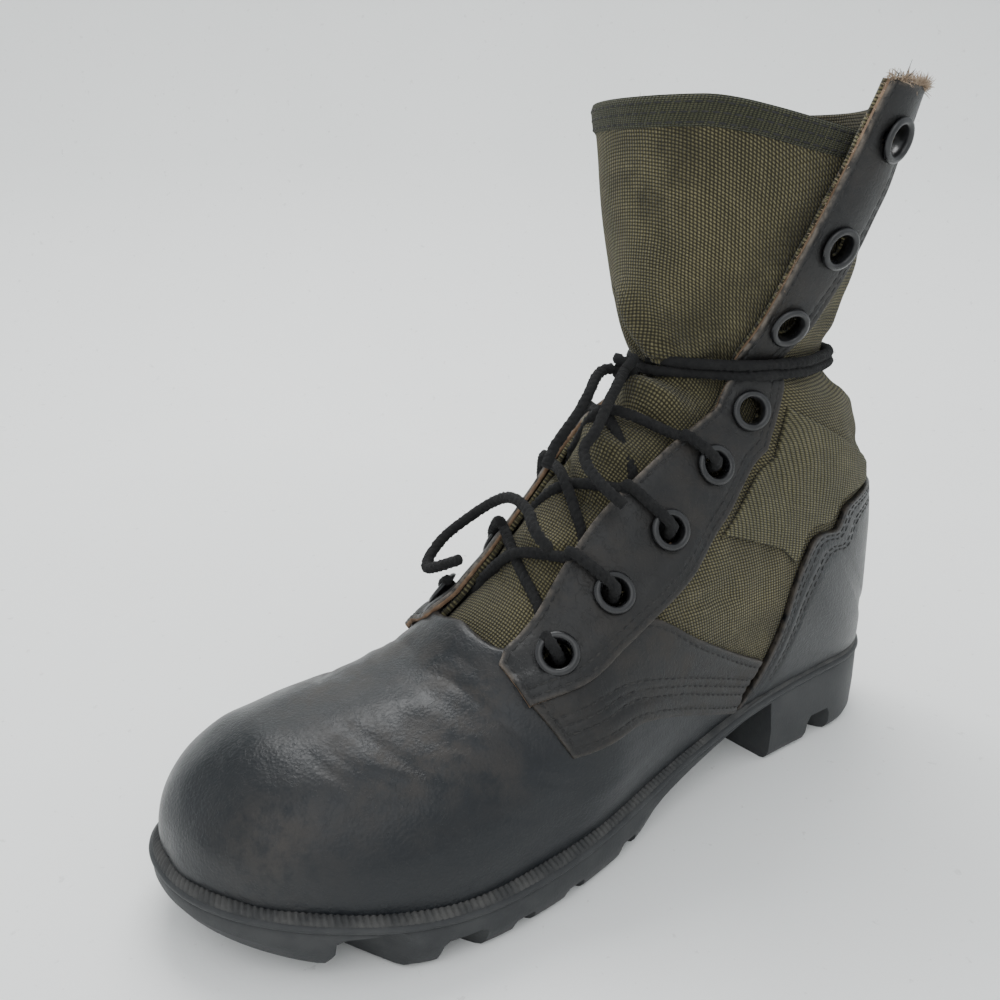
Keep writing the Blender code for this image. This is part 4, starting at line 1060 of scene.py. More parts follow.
def channel_cutter(s, width, slant, side):
    """A bar that cuts one channel from the plain strip along the middle out past the edge."""
    centre, half = (float(v) for v in outline(s))
    in_heel = s < BREAST
    lift = 0.0 if in_heel else max(float(tread_height(s + way)) for way in (-0.012, 0.012, 0))
    turn = math.radians(slant) * side
    start = centre + side * SPINE_HALF
    reach = half - SPINE_HALF + 0.030
    depth = CHANNEL_DEPTH[in_heel]
    lean = abs(math.sin(turn))
    verts = []
    for z, spread in ((-0.02, 1.5), (lift + depth * 0.75, 1.06), (lift + depth, 0.80)):
        for along_x, along_s in ((0.0, -0.5), (reach, -0.5), (reach, 0.5), (0.0, 0.5)):
            at = s - lean * along_x + 0.35 * half * lean + along_s * width * spread
            verts.append((start + side * along_x * math.cos(turn), HEEL_CENTRE - at, z))
    faces = [(0, 1, 2, 3), (8, 9, 10, 11), *belt(3, 4)[1]]
    return turn_out(mesh_object("channel_cut", verts, faces, [RUBBER]))


def make_beads():
    """The slanted beads of the moulded strip round the forefoot, a plain strip round the heel."""
    fine, count, rows = 2600, 2400, 13
    turn = np.linspace(0, 2 * math.pi, fine, endpoint=False)
    at = SOLE_LENGTH * (1 - np.cos(turn)) / 2
    centre, half = outline(at)
    reach = np.where(turn < math.pi, 1.0, -1.0) * half
    line = np.stack((centre + reach, HEEL_CENTRE - at, rim_height(at)), -1)
    run = run_of(np.concatenate((line, line[:1])))
    even = np.interp(np.arange(count) * run[-1] / count, run, np.concatenate((turn, (2 * math.pi,))))
    at = SOLE_LENGTH * (1 - np.cos(even)) / 2
    sign = np.where(even < math.pi, 1.0, -1.0)
    k = np.linspace(0, 1, rows)[None, :]
    length = np.arange(count)[:, None] * run[-1] / count
    pitch = run[-1] / round(run[-1] / BEAD_PITCH)
    ribs = np.abs(np.cos(math.pi * (length / pitch + BEAD_SLANT * (k - 0.5)))) ** 0.8
    ribbed = np.clip((at - RIBBED_FROM) / 0.030, 0, 1)[:, None]
    hump = np.sin(math.pi * np.clip(k * 1.04, 0, 1)) ** 0.5
    rise = hump * (0.00035 + 0.00085 * ribs * ribbed + 0.0003 * (1 - ribbed))
    points = np.empty((count, rows, 3))
    for j, share in enumerate(k[0]):
        inset = 0.0056 - 0.0046 * share
        place = inset + (SOLE_LENGTH - 2 * inset) * (1 - np.cos(even)) / 2
        centre, half = outline(place, inset)
        z = rim_height(place) - (0.0002 + 0.0032 * share ** 1.3)
        points[:, j] = np.stack((centre + sign * half, HEEL_CENTRE - place, z), -1)
    down = np.gradient(np.concatenate((points, points[:1])), axis=0)[:-1]
    normal = unit(np.cross(down, np.gradient(points, axis=1)))
    normal *= np.sign(normal[..., 2:3] + 1e-9)
    ring = np.concatenate((points + normal * rise[..., None], (points - normal * 0.0012)[:, ::-1]), axis=1)
    made = mesh_object("welt_beads", ring.reshape(-1, 3), hoop(count, ring.shape[1]), [RUBBER_DUSTY])
    ride(turn_out(made), "rubber")


# Upper


def cloth_uv(grid, tilt=0.0):
    """Distance round the wall from the back seam, and height, in metres, turned by the tilt."""
    x, y, z = np.moveaxis(grid.points, -1, 0)
    seam = form(np.linspace(11.5, LAST_ROW, 60), 0.0, "outer")
    behind = np.interp(z, seam[:, 2], seam[:, 1])
    run = (np.abs(x) ** 1.35 + np.maximum(behind - y, 0) ** 1.35) ** (1 / 1.35) * np.sign(x + 1e-9)
    level, steep = math.cos(tilt), math.sin(tilt)
    return np.stack((run * level + z * steep, z * level - run * steep), -1)


def sags(points, rows):
    """Soft folds: each row is a list of world points, a half width and a height that may be negative."""
    total = np.zeros(points.shape[:-1])
    for line, width, height in rows:
        path = catmull(line, 0.002) if len(line) > 2 else np.linspace(line[0], line[-1], 12)
        away = np.full(points.shape[:-1], 1e9)
        fade = np.zeros(points.shape[:-1])
        for i, at in enumerate(path):
            d = np.linalg.norm(points - at, axis=-1)
            end = min(i, len(path) - 1 - i) / max(len(path) * 0.25, 1)
            closer = d < away
            fade = np.where(closer, min(end, 1.0), fade)
            away = np.minimum(away, d)
        total += height * fade * np.exp(-((away / width) ** 2))
    return total


FLEX_CREASES = [
    # side, half width, height, then section rows and shares along the crease
    ("outer", 0.0022, -0.0007, (6.4, 0.30), (5.9, 0.44), (5.5, 0.60), (5.3, 0.78), (5.2, 0.95)),
    ("outer", 0.0040, 0.0006, (6.7, 0.34), (6.3, 0.46), (6.0, 0.62), (5.8, 0.80), (5.6, 0.97)),
    ("outer", 0.0018, -0.0007, (7.0, 0.40), (6.75, 0.52), (6.45, 0.66), (6.3, 0.82), (6.1, 0.98)),
    ("outer", 0.0016, -0.0005, (6.0, 0.36), (5.5, 0.50), (5.1, 0.66), (4.9, 0.84)),
    ("outer", 0.0014, -0.0005, (5.7, 0.40), (5.2, 0.54), (4.8, 0.70), (4.6, 0.88)),
    ("outer", 0.0012, -0.0005, (6.9, 0.62), (6.8, 0.74), (6.75, 0.88), (6.7, 0.98)),
    ("outer", 0.0013, -0.0005, (7.6, 0.24), (7.0, 0.30), (6.5, 0.40)),
    ("outer", 0.0010, -0.0004, (6.6, 0.20), (6.1, 0.28), (5.8, 0.38)),
    ("outer", 0.0010, -0.0004, (6.2, 0.55), (5.8, 0.62), (5.65, 0.72)),
    ("inner", 0.0020, -0.0007, (6.3, 0.40), (5.8, 0.56), (5.5, 0.72), (5.3, 0.92)),
    ("inner", 0.0030, 0.0006, (6.6, 0.44), (6.2, 0.60), (5.9, 0.78), (5.7, 0.95)),
    ("inner", 0.0016, -0.0006, (6.9, 0.48), (6.6, 0.64), (6.4, 0.84), (6.2, 0.97)),
]
CANVAS_FOLDS = [
    ("outer", 0.0060, 0.0022, (17.2, 0.34), (17.6, 0.22), (18.2, 0.12)),
    ("outer", 0.0035, -0.0016, (19.4, 0.42), (19.2, 0.28), (19.3, 0.14), (19.4, 0.04)),
    ("outer", 0.0040, 0.0016, (20.4, 0.40), (20.2, 0.25), (20.2, 0.10)),
    ("outer", 0.0030, -0.0013, (20.6, 0.30), (21.6, 0.27), (22.8, 0.26), (24.0, 0.27)),
    ("outer", 0.0050, 0.0014, (21.2, 0.40), (22.4, 0.38), (23.6, 0.34)),
    ("outer", 0.0040, 0.0012, (9.2, 0.38), (10.4, 0.30), (11.6, 0.24)),
    ("outer", 0.0030, -0.0012, (10.0, 0.44), (11.2, 0.38), (12.2, 0.30)),
    ("outer", 0.0030, -0.0010, (12.6, 0.50), (13.6, 0.46), (14.4, 0.42)),
    ("inner", 0.0050, 0.0018, (17.6, 0.36), (18.0, 0.22), (18.4, 0.12)),
    ("inner", 0.0035, -0.0014, (19.4, 0.42), (19.2, 0.28), (19.3, 0.14)),
    ("inner", 0.0040, 0.0014, (20.6, 0.40), (20.4, 0.25), (20.4, 0.10)),
    ("inner", 0.0030, -0.0012, (21.0, 0.26), (22.4, 0.24), (23.8, 0.24)),
    ("inner", 0.0040, 0.0012, (9.4, 0.40), (10.6, 0.32), (11.8, 0.26)),
]
TONGUE_FOLDS = [
    # half width, height, then section rows and shares from the outer to the inner edge
    (0.0036, -0.0044, (19.6, 0.42), (20.6, 0.50), (21.6, 0.60), (22.4, 0.68)),
    (0.0055, 0.0036, (19.6, 0.34), (20.6, 0.40), (21.6, 0.50), (22.6, 0.58)),
    (0.0030, -0.0018, (19.6, 0.66), (20.4, 0.74), (21.2, 0.82)),
    (0.0040, 0.0016, (19.6, 0.24), (20.8, 0.26), (22.0, 0.30)),
    (0.0030, -0.0014, (19.6, 0.20), (20.6, 0.18), (21.6, 0.20)),
    (0.0040, -0.0036, (15.6, 0.20), (15.2, 0.40), (15.6, 0.62), (16.4, 0.85)),
    (0.0045, 0.0038, (14.4, 0.15), (14.0, 0.38), (14.2, 0.62), (15.0, 0.88)),
    (0.0035, -0.0038, (13.0, 0.15), (12.6, 0.36), (12.8, 0.62), (13.6, 0.85)),
    (0.0045, 0.0034, (11.6, 0.18), (11.4, 0.40), (11.8, 0.65), (12.4, 0.85)),
    (0.0035, -0.0034, (10.4, 0.15), (10.2, 0.40), (10.6, 0.66), (11.0, 0.85)),
    (0.0040, 0.0026, (9.4, 0.20), (9.2, 0.44), (9.5, 0.70)),
    (0.0025, -0.0016, (8.5, 0.20), (8.4, 0.46), (8.7, 0.74)),
]


def folds(points, table):
    rows = [([form(u, a, side) for u, a in line], width, height) for side, width, height, *line in table]
    return sags(points, rows)


COUNTER_SEAMS = (0.0022, 0.0046, 0.0095, 0.0119)  # distances from the panel's edge, here and below
SADDLE_SEAMS = (0.0028, 0.0075, 0.0105, 0.0135)
BACKSTAY_SEAMS = (0.0018, 0.0040)
BINDING_SEAM = 0.0018
TONGUE_SEAMS = (0.0015, 0.0045, 0.0075)
TONGUE_TAPE = 0.0100  # width of the tape round the tongue's top
EYESTAY_SEAMS = [
    # border, distance from it, first and last share along it
    ("low", 0.0022, 0.02, 1.0),
    ("low", 0.0048, 0.02, 1.0),
    ("high", 0.0026, 0.02, 1.0),
    ("start", 0.0026, 0.1, 0.9),
]


def two_part_rows(first, last, shares, side, step):
    """Evenly spaced rows that meet at row 16, measured along one share below it and another above."""
    below = equal_rows(first, 16.0, shares[0], side, step)
    return np.concatenate((below, equal_rows(16.0, last, shares[1], side, step)[1:]))


def make_canvas():
    """The canvas wall and its lining, open at the collar, the throat and underneath."""
    rows = two_part_rows(6.9, 25.0, (0.45, 0.3), "outer", 0.0016)
    grid = both_sides(rows, throat_edge, 1 - np.linspace(1, 0, 92) ** 1.05)
    lift = smooth_noise(grid.points, 0.022, 4) * 0.0004 + folds(grid.points, CANVAS_FOLDS)
    grid.top = -FACET_ROOM * 0.6 + lift
    dust = np.clip(0.25 + 0.35 * smooth_noise(grid.points, 0.05, 8), 0, 1)
    dust = np.maximum(dust, np.exp(-((grid.points[..., 2] - 0.052) / 0.02) ** 2) * 0.7)
    shell("canvas_upper", grid, -WALL - FACET_ROOM * 0.6 + lift, [CANVAS, LINING], dust,
          keep=eyelet_holes(grid.points, 0.0050), uv=cloth_uv(grid), inner_material=1,
          ride_on=("canvas", "upper"))


def vamp_grid():
    rows = equal_rows(0.0, 7.0, 0.80, "outer", 0.00135)
    rows[0] = 0.004
    shares = np.linspace(0, 1, 84) ** 1.06
    grow = (rows / rows[-1])[:, None]
    blend = np.clip((rows - 4.0) / 3.0, 0, 1)[:, None]
    u = rows[:, None] + (along(VAMP_UNDER, shares)[None, :] - rows[-1]) * blend ** 1.5 * grow
    a = np.broadcast_to(shares[None, :], u.shape)
    u_inner, a_inner = u[:, ::-1][:, 1:], a[:, ::-1][:, 1:]
    points = [form(u, a, "outer"), form(u_inner, a_inner, "inner")]
    faces = [
        outward(u, np.clip(a, 0.02, 0.98), "outer"),
        outward(u_inner, np.clip(a_inner, 0.02, 0.98), "inner"),
    ]
    grid = Grid(np.concatenate(points, 1), np.concatenate(faces, 1))
    return grid, np.concatenate((u, u_inner), 1), np.concatenate((a, -a_inner), 1)


def make_vamp():
    grid, u, a = vamp_grid()
    p = grid.points
    grid.top = SEAT_GAP + LEATHER - round_edge(grid.end, PANEL_EDGE) + folds(p, FLEX_CREASES)
    grid.top = grid.top + smooth_noise(p, 0.030, 21) * 0.00035 + smooth_noise(p, 0.012, 5) * 0.00012
    flexed = np.exp(-(((u - 5.9) / 1.3) ** 2)) * ease_in(np.abs(a) - 0.22, 0.3)
    scuffed = np.exp(-np.sum((p - form(3.2, 0.42, "outer")) ** 2, -1) / 0.016 ** 2)
    dust = np.clip(0.06 + (0.65 * flexed + 0.35 * scuffed) * (1 + 0.6 * smooth_noise(p, 0.03, 3)), 0, 1)
    wear = np.clip(0.9 - grid.end / 0.0012, 0, 1) * 0.3 + 0.10 * scuffed
    shell("vamp_leather_piece", grid, 0.0, [VAMP_LEATHER], dust, wear, ride_on=("worn_leather", "vamp"))


def make_counter():
    columns = eased(48, 0.0009, 0.08)
    grid = both_sides(equal_rows(11.26, 18.79, 0.12, "outer", 0.0016), counter_edge, columns / columns[-1])
    grid.top = SEAT_GAP + FACET_ROOM * 0.6 + LEATHER - round_edge(grid.sides, PANEL_EDGE)
    for at in COUNTER_SEAMS:
        grid.top += trough(grid.sides, at, 0.0008, 0.00040)
    dust = np.clip(0.25 + 0.3 * smooth_noise(grid.points, 0.05, 13), 0, 1)
    wear = np.clip(1.0 - grid.sides / 0.0014, 0, 1) * 0.35
    shell("counter_leather_piece", grid, SEAT_GAP * 0.4, [COUNTER_LEATHER], dust, wear,
          ride_on=("leather", "counter"))
    for border in ("low", "high"):
        for at in COUNTER_SEAMS:
            stitch_row("stitches_counter", *grid.line(border, at, 0.10, 0.97))


def make_eyestay(side):
    rows = two_part_rows(7.15, float(LAST_ROW), (0.65, 0.5), side, 0.0013)
    steps = (rows - rows[0]) / (rows[-1] - rows[0])
    near = np.array((0.0, 0.15, 0.45, 0.9)) * 0.0012 / 0.20
    steps = np.unique(np.concatenate((near, steps[steps > near[-1] * 1.1], 1 - near)))
    u = (rows[0] + (rows[-1] - rows[0]) * steps)[:, None]
    dip = 0.03 * np.clip((THROAT_ROW - u) / 0.25, 0, 1)
    front, rear = throat_edge(u, side) - dip, eyestay_rear(u, side)
    a = rear + (front - rear) * eased(26, 0.0010, 0.030)[None, :]
    grid = form_grid(u, a, side)
    over_vamp = ease_in(along(VAMP_UNDER, a) + 0.55 - u, 0.7)
    over_saddle = ease_in(11.9 - u, 1.2) * ease_in(0.012 - grid.low, 0.006)
    rise = OVERLAP * (over_vamp + over_saddle)
    grid.top = SEAT_GAP + LEATHER - round_edge(grid.border, PANEL_EDGE) + rise
    grid.top += smooth_noise(grid.points, 0.016, 31) * 0.00025
    for border, at, *span in EYESTAY_SEAMS:
        grid.top += trough(getattr(grid, border), at, 0.0008, 0.00040)
    dust = np.clip(0.40 + 0.4 * smooth_noise(grid.points, 0.04, 17), 0, 1)
    wear = np.clip(1.0 - grid.border / 0.0016, 0, 1) * np.where(grid.high < grid.low, 1.0, 0.25)
    shell("eyestay_leather_" + side, grid, UNDERSIDE + rise * 0.9, [PANEL_LEATHER, RAW_EDGE], dust, wear,
          keep=eyelet_holes(grid.points, 0.0052), edge_material=1, ride_on=("leather", "eyestay_" + side))
    for seam in EYESTAY_SEAMS:
        stitch_row("stitches_" + side, *grid.line(*seam))


def make_saddle(side):
    steps = np.unique(np.concatenate((np.linspace(0, 1, 90), (0.002, 0.006, 0.994, 0.998))))
    grid, u, a = panel_grid(side, SADDLE_LOW, SADDLE_UNDER, steps, eased(34, 0.0010, 0.034))
    rise = OVERLAP * ease_in(along(VAMP_UNDER, a) + 0.45 - u, 0.6)
    grid.top = SEAT_GAP + LEATHER - round_edge(grid.border, PANEL_EDGE) + rise
    for at in SADDLE_SEAMS:
        grid.top += trough(grid.low, at, 0.0009, 0.00050)
    grid.top += trough(grid.high, 0.0030, 0.0007, 0.00028) + trough(grid.start, 0.0028, 0.0007, 0.00025)
    dust = np.clip(0.5 + 0.4 * smooth_noise(grid.points, 0.03, 19), 0, 1)
    wear = np.clip(1.0 - grid.border / 0.0015, 0, 1) * 0.25
    shell("saddle_leather_" + side, grid, UNDERSIDE + rise * 0.9, [PANEL_LEATHER], dust, wear,
          ride_on=("worn_leather", "saddle_" + side))
    for at in SADDLE_SEAMS:
        stitch_row("stitches_" + side, *grid.line("low", at, 0.04, 0.97))
    stitch_row("stitches_" + side, *grid.line("high", 0.0030, 0.04, 0.97))
    stitch_row("stitches_" + side, *grid.line("start", 0.0028, 0.08, 0.92))


def make_patch(side):
    """The webbing over the ankle, between the counter, the backstay and the eyestay."""
    rows = two_part_rows(12.0, PATCH_TOP_ROW, (0.47, 0.35), side, 0.0016)
    u = rows[:, None]
    fore = eyestay_rear(u, side) - PANEL_GAP
    low = np.where(u < 13.4, along(PATCH_LOW, u), 0.0)
    seam = np.where(u > 17.5, backstay_share(rows, side)[:, None], 0.0)
    rear = np.minimum(np.maximum(np.maximum(low, counter_edge(u, side)), seam) + PANEL_GAP, fore)
    grid = form_grid(u, rear + (fore - rear) * eased(40, 0.0007, 0.05)[None, :], side)
    grid.top = SEAT_GAP + WEBBING - round_edge(grid.border, CLOTH_EDGE)
    grid.top += smooth_noise(grid.points, 0.015, 41) * 0.0002
    shell("ankle_webbing_" + side, grid, UNDERSIDE, [WEBBING_CLOTH], 0.3,
          uv=cloth_uv(grid, math.radians(20) * SIDES[side]), ride_on=("webbing", "ankle_patch_" + side))


def backstay_share(rows, side):
    """How far up each section half the backstay's width reaches."""
    shares = np.linspace(0, 0.6, 121)
    run = run_of(form(np.asarray(rows)[:, None], shares[None, :], side), 1)
    return np.array([np.interp(BACKSTAY_HALF, line, shares) for line in run])


def ring_rise(u):
    """How many layers an eyelet's leather lies over, near the vamp."""
    return 0.3 + 0.7 * float(ease_in(np.asarray(8.8 - u), 0.8))


RING_PROFILE = [
    # distance from the hole's centre, height over the leather
    (0.00720, 0.0002), (0.00718, 0.0008), (0.00690, 0.0013), (0.00630, 0.00165),
    (0.00560, 0.0017), (0.00500, 0.0014), (0.00465, 0.0008), (0.00450, -0.0001),
    (0.00440, -0.0037), (0.00480, -0.0037), (0.00490, -0.0003), (0.00620, -0.0001),
]


def make_ring(number, u, side):
    point, normal, across, up = eyelet_frame(u, side)
    point = point + normal * (LEATHER + SEAT_GAP + OVERLAP * ring_rise(u))
    around = 44
    turn = (2 * math.pi * np.arange(around) / around)[:, None]
    radius, height = np.array(RING_PROFILE).T[:, None]
    tilt = np.random.RandomState(number * 7 + (3 if side == "outer" else 0)).uniform(-0.03, 0.03, 2)
    radial = across * np.cos(turn)[..., None] + up * np.sin(turn)[..., None]
    height = height + radius * (np.cos(turn) * tilt[0] + np.sin(turn) * tilt[1])
    verts = point + radial * radius[..., None] + normal * height[..., None]
    name = side + "_" + str(number)
    made = mesh_object("ring_" + name, verts.reshape(-1, 3), hoop(around, len(RING_PROFILE)), [ENAMEL])
    ride(turn_out(made), "enamel", "eyelet_" + name)


def fray(name, points, ways, material, count, length, radius, seed, spread=0.7):
    """Loose fibres that stand out of an edge or a lace."""
    rng = np.random.RandomState(seed)
    fibre = [*belt(4, 3)[1], (9, 10, 11)]
    verts, faces = [], []
    for _ in range(count):
        i = rng.randint(len(points))
        start = np.array(points[i]) + rng.normal(size=3) * 0.0005
        way = unit(np.array(ways[i]) + rng.normal(size=3) * spread)
        bend = unit(rng.normal(size=3)) * length * 0.35
        size = length * rng.uniform(0.35, 1.0)
        side = unit(np.cross(way, rng.normal(size=3)))
        other = np.cross(way, side)
        faces += [[len(verts) + corner for corner in face] for face in fibre]
        for step, width in ((0.0, 1.0), (0.35, 0.9), (0.7, 0.7), (1.0, 0.25)):
            middle = start + way * size * step + bend * step * step
            for turn in (0.0, 2.094, 4.189):
                verts.append(middle + (side * math.cos(turn) + other * math.sin(turn)) * radius * width)
    ride(mesh_object(name, verts, faces, [material]), "lace_cord" if material is LACE else "leather")


def make_frays():
    for side, seed in (("outer", 5), ("inner", 6)):
        shares = np.linspace(float(eyestay_rear(25.0, side)), float(throat_edge(25.0, side)), 30)
        top = form(25.0, shares, side) + outward(25.0, shares, side) * 0.0012
        way = unit(form(25.0, shares, side) - form(24.7, shares, side))
        fray("flap_fray_" + side, top, way, TAN_FRAY, 420, 0.0036, 0.00016, seed)
        fray("flap_threads_" + side, top[22:28], way[22:28], THREAD, 14, 0.0060, 0.00020, seed + 20, 0.9)
        rows = np.linspace(22.5, 25.0, 40)
        edge = throat_edge(rows, side)
        line = form(rows, edge, side) + outward(rows, edge, side) * 0.0008
        out = unit(form(rows, edge, side) - form(rows, edge - 0.03, side))
        fray("edge_fray_" + side, line, out, TAN_FRAY, 160, 0.0014, 0.00011, seed + 40)


def make_backstay():
    rows = equal_rows(18.93, BINDING_ROW - 0.06, 0.05, "outer", 0.0018)
    shares = {side: backstay_share(rows, side) for side in SIDES}
    columns = eased(8, 0.0006, 0.0095)
    grid = both_sides(rows, lambda u, side: np.interp(u, rows, shares[side]), columns / columns[-1])
    grid.top = SEAT_GAP + WEBBING - round_edge(grid.sides, CLOTH_EDGE)
    for at in BACKSTAY_SEAMS:
        grid.top += trough(grid.sides, at, 0.0006, 0.0002)
    shell("backstay_webbing", grid, UNDERSIDE, [WEBBING_CLOTH], 0.4, uv=cloth_uv(grid),
          ride_on=("webbing", "backstay"))
    for border in ("low", "high"):
        for at in BACKSTAY_SEAMS:
            stitch_row("stitches_back", *grid.line(border, at))


def make_binding():
    rows = np.concatenate((
        np.linspace(BINDING_ROW, BINDING_ROW + 0.03, 3), np.linspace(BINDING_ROW + 0.05, LAST_ROW - 0.05, 9),
        np.linspace(LAST_ROW - 0.03, LAST_ROW, 3),
    ))
    grid = both_sides(rows, lambda u, side: eyestay_rear(u, side) - PANEL_GAP, 1 - np.linspace(1, 0, 70))
    grid.top = SEAT_GAP + WEBBING - round_edge(grid.ends, CLOTH_EDGE)
    shell("collar_tape", grid, UNDERSIDE, [TAPE], 0.35, uv=cloth_uv(grid), ride_on=("tape", "collar_binding"))
    for border in ("start", "end"):
        stitch_row("stitches_back", *grid.line(border, BINDING_SEAM))


def make_tongue():
    """The tongue, whose outer end falls a little, and the tape sewn round its top."""
    u = np.concatenate((np.linspace(6.3, 18.0, 150), np.linspace(18.0, 24.8, 130)[1:]))[:, None]
    t = np.linspace(0, 1, 100)[None, :]
    points = tongue_points(u, t)
    fall = ease_in(0.34 - t, 0.34) * ease_in(u - 21.5, 3.3)
    points[..., 2] -= 0.010 * fall
    points[..., 1] += 0.004 * fall
    facing = np.broadcast_to((0.0, -1.0, 0.5), points.shape)
    grid = Grid(points, facing)
    rows = [([tongue_points(u, t) for u, t in line], width, height) for width, height, *line in TONGUE_FOLDS]
    grid.top = 0.0010 + smooth_noise(points, 0.028, 51) * 0.0007 + sags(points, rows)
    shell("tongue_canvas", grid, grid.top - 0.0020, [CANVAS],
          np.clip(0.3 + 0.4 * smooth_noise(points, 0.05, 53), 0, 1),
          uv=np.stack((grid.low - grid.low[:, -1:] / 2, grid.start), -1), ride_on=("canvas", "tongue"))
    first = int(np.argmax((grid.end < TONGUE_TAPE).all(axis=1)))
    tape = Grid(points[first:], facing[first:])
    tape.top = grid.top[first:] + 0.0009 - round_edge(tape.ends, 0.0007)
    shell("tongue_tape", tape, tape.top - 0.0037, [TAPE], 0.35, uv=np.stack((tape.low, tape.end), -1),
          ride_on=("tape",))
    for at in TONGUE_SEAMS:
        stitch_row("stitches_tongue", *tape.line("start", at), width=0.0006)


# Laces
BRAID_RADIUS = 0.0019  # the lace's fuzz included
BRAID_TURN = 0.0050  # length of lace in which the braid's strands go round once
CROSSING_LIFT = {"a": 0.0024, "b": 0.0058}
WRAP_TURNS = 2
WRAP_PITCH = 0.0036
WRAP_LIFT = BRAID_RADIUS + 0.0008
TONGUE_POINTS = 20
LACE_END_A = [
    (-0.0057, -0.0923, 0.1570), (-0.0064, -0.0960, 0.1566), (-0.0048, -0.1008, 0.1549),
    (-0.0020, -0.1056, 0.1518), (0.0000, -0.1101, 0.1482), (0.0008, -0.1148, 0.1436),
    (0.0006, -0.1194, 0.1390), (0.0004, -0.1240, 0.1338), (0.0018, -0.1284, 0.1287),
]
LACE_END_B = [
    (-0.0010, -0.0914, 0.1563), (0.0013, -0.0946, 0.1551), (0.0040, -0.0994, 0.1526),
    (0.0064, -0.1045, 0.1489), (0.0083, -0.1090, 0.1447), (0.0095, -0.1136, 0.1397),
    (0.0096, -0.1182, 0.1352), (0.0138, -0.1208, 0.1308), (0.0206, -0.1222, 0.1275),
    (0.0266, -0.1218, 0.1241), (0.0314, -0.1196, 0.1207),
]
LACE_LOOP = [
    (0.01773, -0.1400, 0.1066), (0.0180, -0.1430, 0.1101), (0.0140, -0.1430, 0.1132),
    (0.0065, -0.1395, 0.1160), (-0.0020, -0.1375, 0.1175), (-0.0110, -0.1360, 0.1160),
    (-0.0200, -0.1365, 0.1115), (-0.0270, -0.1405, 0.1055), (-0.0305, -0.1480, 0.0995),
    (-0.0300, -0.1550, 0.0940), (-0.0250, -0.1600, 0.0915), (-0.0170, -0.1600, 0.0945),
    (-0.0090, -0.1570, 0.0985),
]


def off_surface(u, a, side, lift):
    return form(u, a, side) + outward(u, a, side) * lift


def over_tongue(u, t, lift):
    point = tongue_points(u, round(t * TONGUE_POINTS) / TONGUE_POINTS)
    base, tip = (np.array(v) for v in section_frame(np.asarray(float(u)), "outer")[:2])
    way = unit(tip - base)
    return point + np.array((way[0], -way[1], way[2])) * lift


def strand_path(name, side):
    """From eyelet to eyelet: down through each hole, below the flap and over the tongue to the next."""
    path = []
    for number in range(4):
        u = EYELET_ROWS[number]
        point, normal, across = eyelet_frame(u, side)[:3]
        point = point + normal * (LEATHER + SEAT_GAP)
        edge = float(throat_edge(u, side))
        if number:
            path.append(off_surface(u - 0.25, edge + 0.012, side, 0.0010))
            path.append(off_surface(u - 0.14, edge - 0.010, side, LEATHER + 0.0026))
        else:
            path.append(point + across * 0.0075 + normal * 0.0024)
        path.append(point + across * 0.0032 + normal * 0.0030)
        path.append(point + normal * 0.0004)
        path.append(point - across * 0.0002 - normal * 0.0040)
        if number < 3:
            path.append(off_surface(u + 0.12, edge - 0.012, side, -0.0046))
            path.append(off_surface(u + 0.30, edge + 0.030, side, -0.0030))
            path.append(over_tongue((u + EYELET_ROWS[number + 1]) / 2, 0.5, CROSSING_LIFT[name]))
        side = OTHER[side]
    return path


def row_at(reader, height, low=16.5, high=21.8):
    for _ in range(24):
        middle = (low + high) / 2
        if reader(middle)[2] < height:
            low = middle
        else:
            high = middle
    return (low + high) / 2


WRAP_SIDE = (0.73, 0.62, 0.51, 0.40, 0.29, 0.19, 0.09)


def wrap_point(kind, share, height):
    if kind == "tongue":
        t = round(share * TONGUE_POINTS) / TONGUE_POINTS
        u = row_at(lambda v: tongue_points(v, t), height)
        point = tongue_points(u, t)
        out = np.array((0.5 * point[0] / abs(point[0]) if abs(point[0]) > 0.004 else 0.0, -1.0, 0.0))
    else:
        u = row_at(lambda v: form(v, share, kind), height)
        point = form(u, share, kind)
        out = outward(u, share, kind) * (1, 1, 0)
    on_leather = kind != "tongue" and share > 0.45
    point = point + unit(out) * (WRAP_LIFT + (LEATHER if on_leather else 0.0))
    point[2] = height
    return point


def wrap_path():
    turn = [("tongue", 0.50), ("tongue", 0.30)]
    turn += [("outer", share) for share in (*WRAP_SIDE, 0.025)]
    turn += [("inner", share) for share in WRAP_SIDE[::-1]]
    turn += [("tongue", 0.70)]
    top, drop = WRAP_HEIGHT + WRAP_PITCH, WRAP_PITCH / len(turn)
    return [wrap_point(kind, share, top - drop * i) for i, (kind, share) in enumerate(turn * WRAP_TURNS)]


def make_laces():
    routes = [strand_path("a", "outer"), strand_path("b", "inner"), wrap_path()]
    for name, node, route, step in (
        ("strand_a", "lace_strand_a", routes[0], 0.0005),
        ("strand_b", "lace_strand_b", routes[1], 0.0005),
        ("ankle_wrap", "lace_wrap", routes[2], 0.0006),
    ):
        ride(braid(name, route, step)[0], "lace_cord", node)
    for name, route, end in (
        ("end_a", LACE_END_A, "bare"), ("end_b", LACE_END_B, "object"), ("loop", LACE_LOOP, "object")
    ):
        made, path = braid("cord_" + name, route)
        ride(made, "lace_cord", "lace_" + name)
        routes.append(route)
    ride(braid("wrap_knot", knot_path())[0], "lace_cord", "lace_knot")
    line = np.concatenate([catmull(route, 0.0006) for route in routes])
    ways = unit(np.random.RandomState(71).normal(size=line.shape))
    fray("lace_fuzz", line + ways * BRAID_RADIUS * 0.9, ways, LACE, 2600, 0.0013, 0.00006, 72)


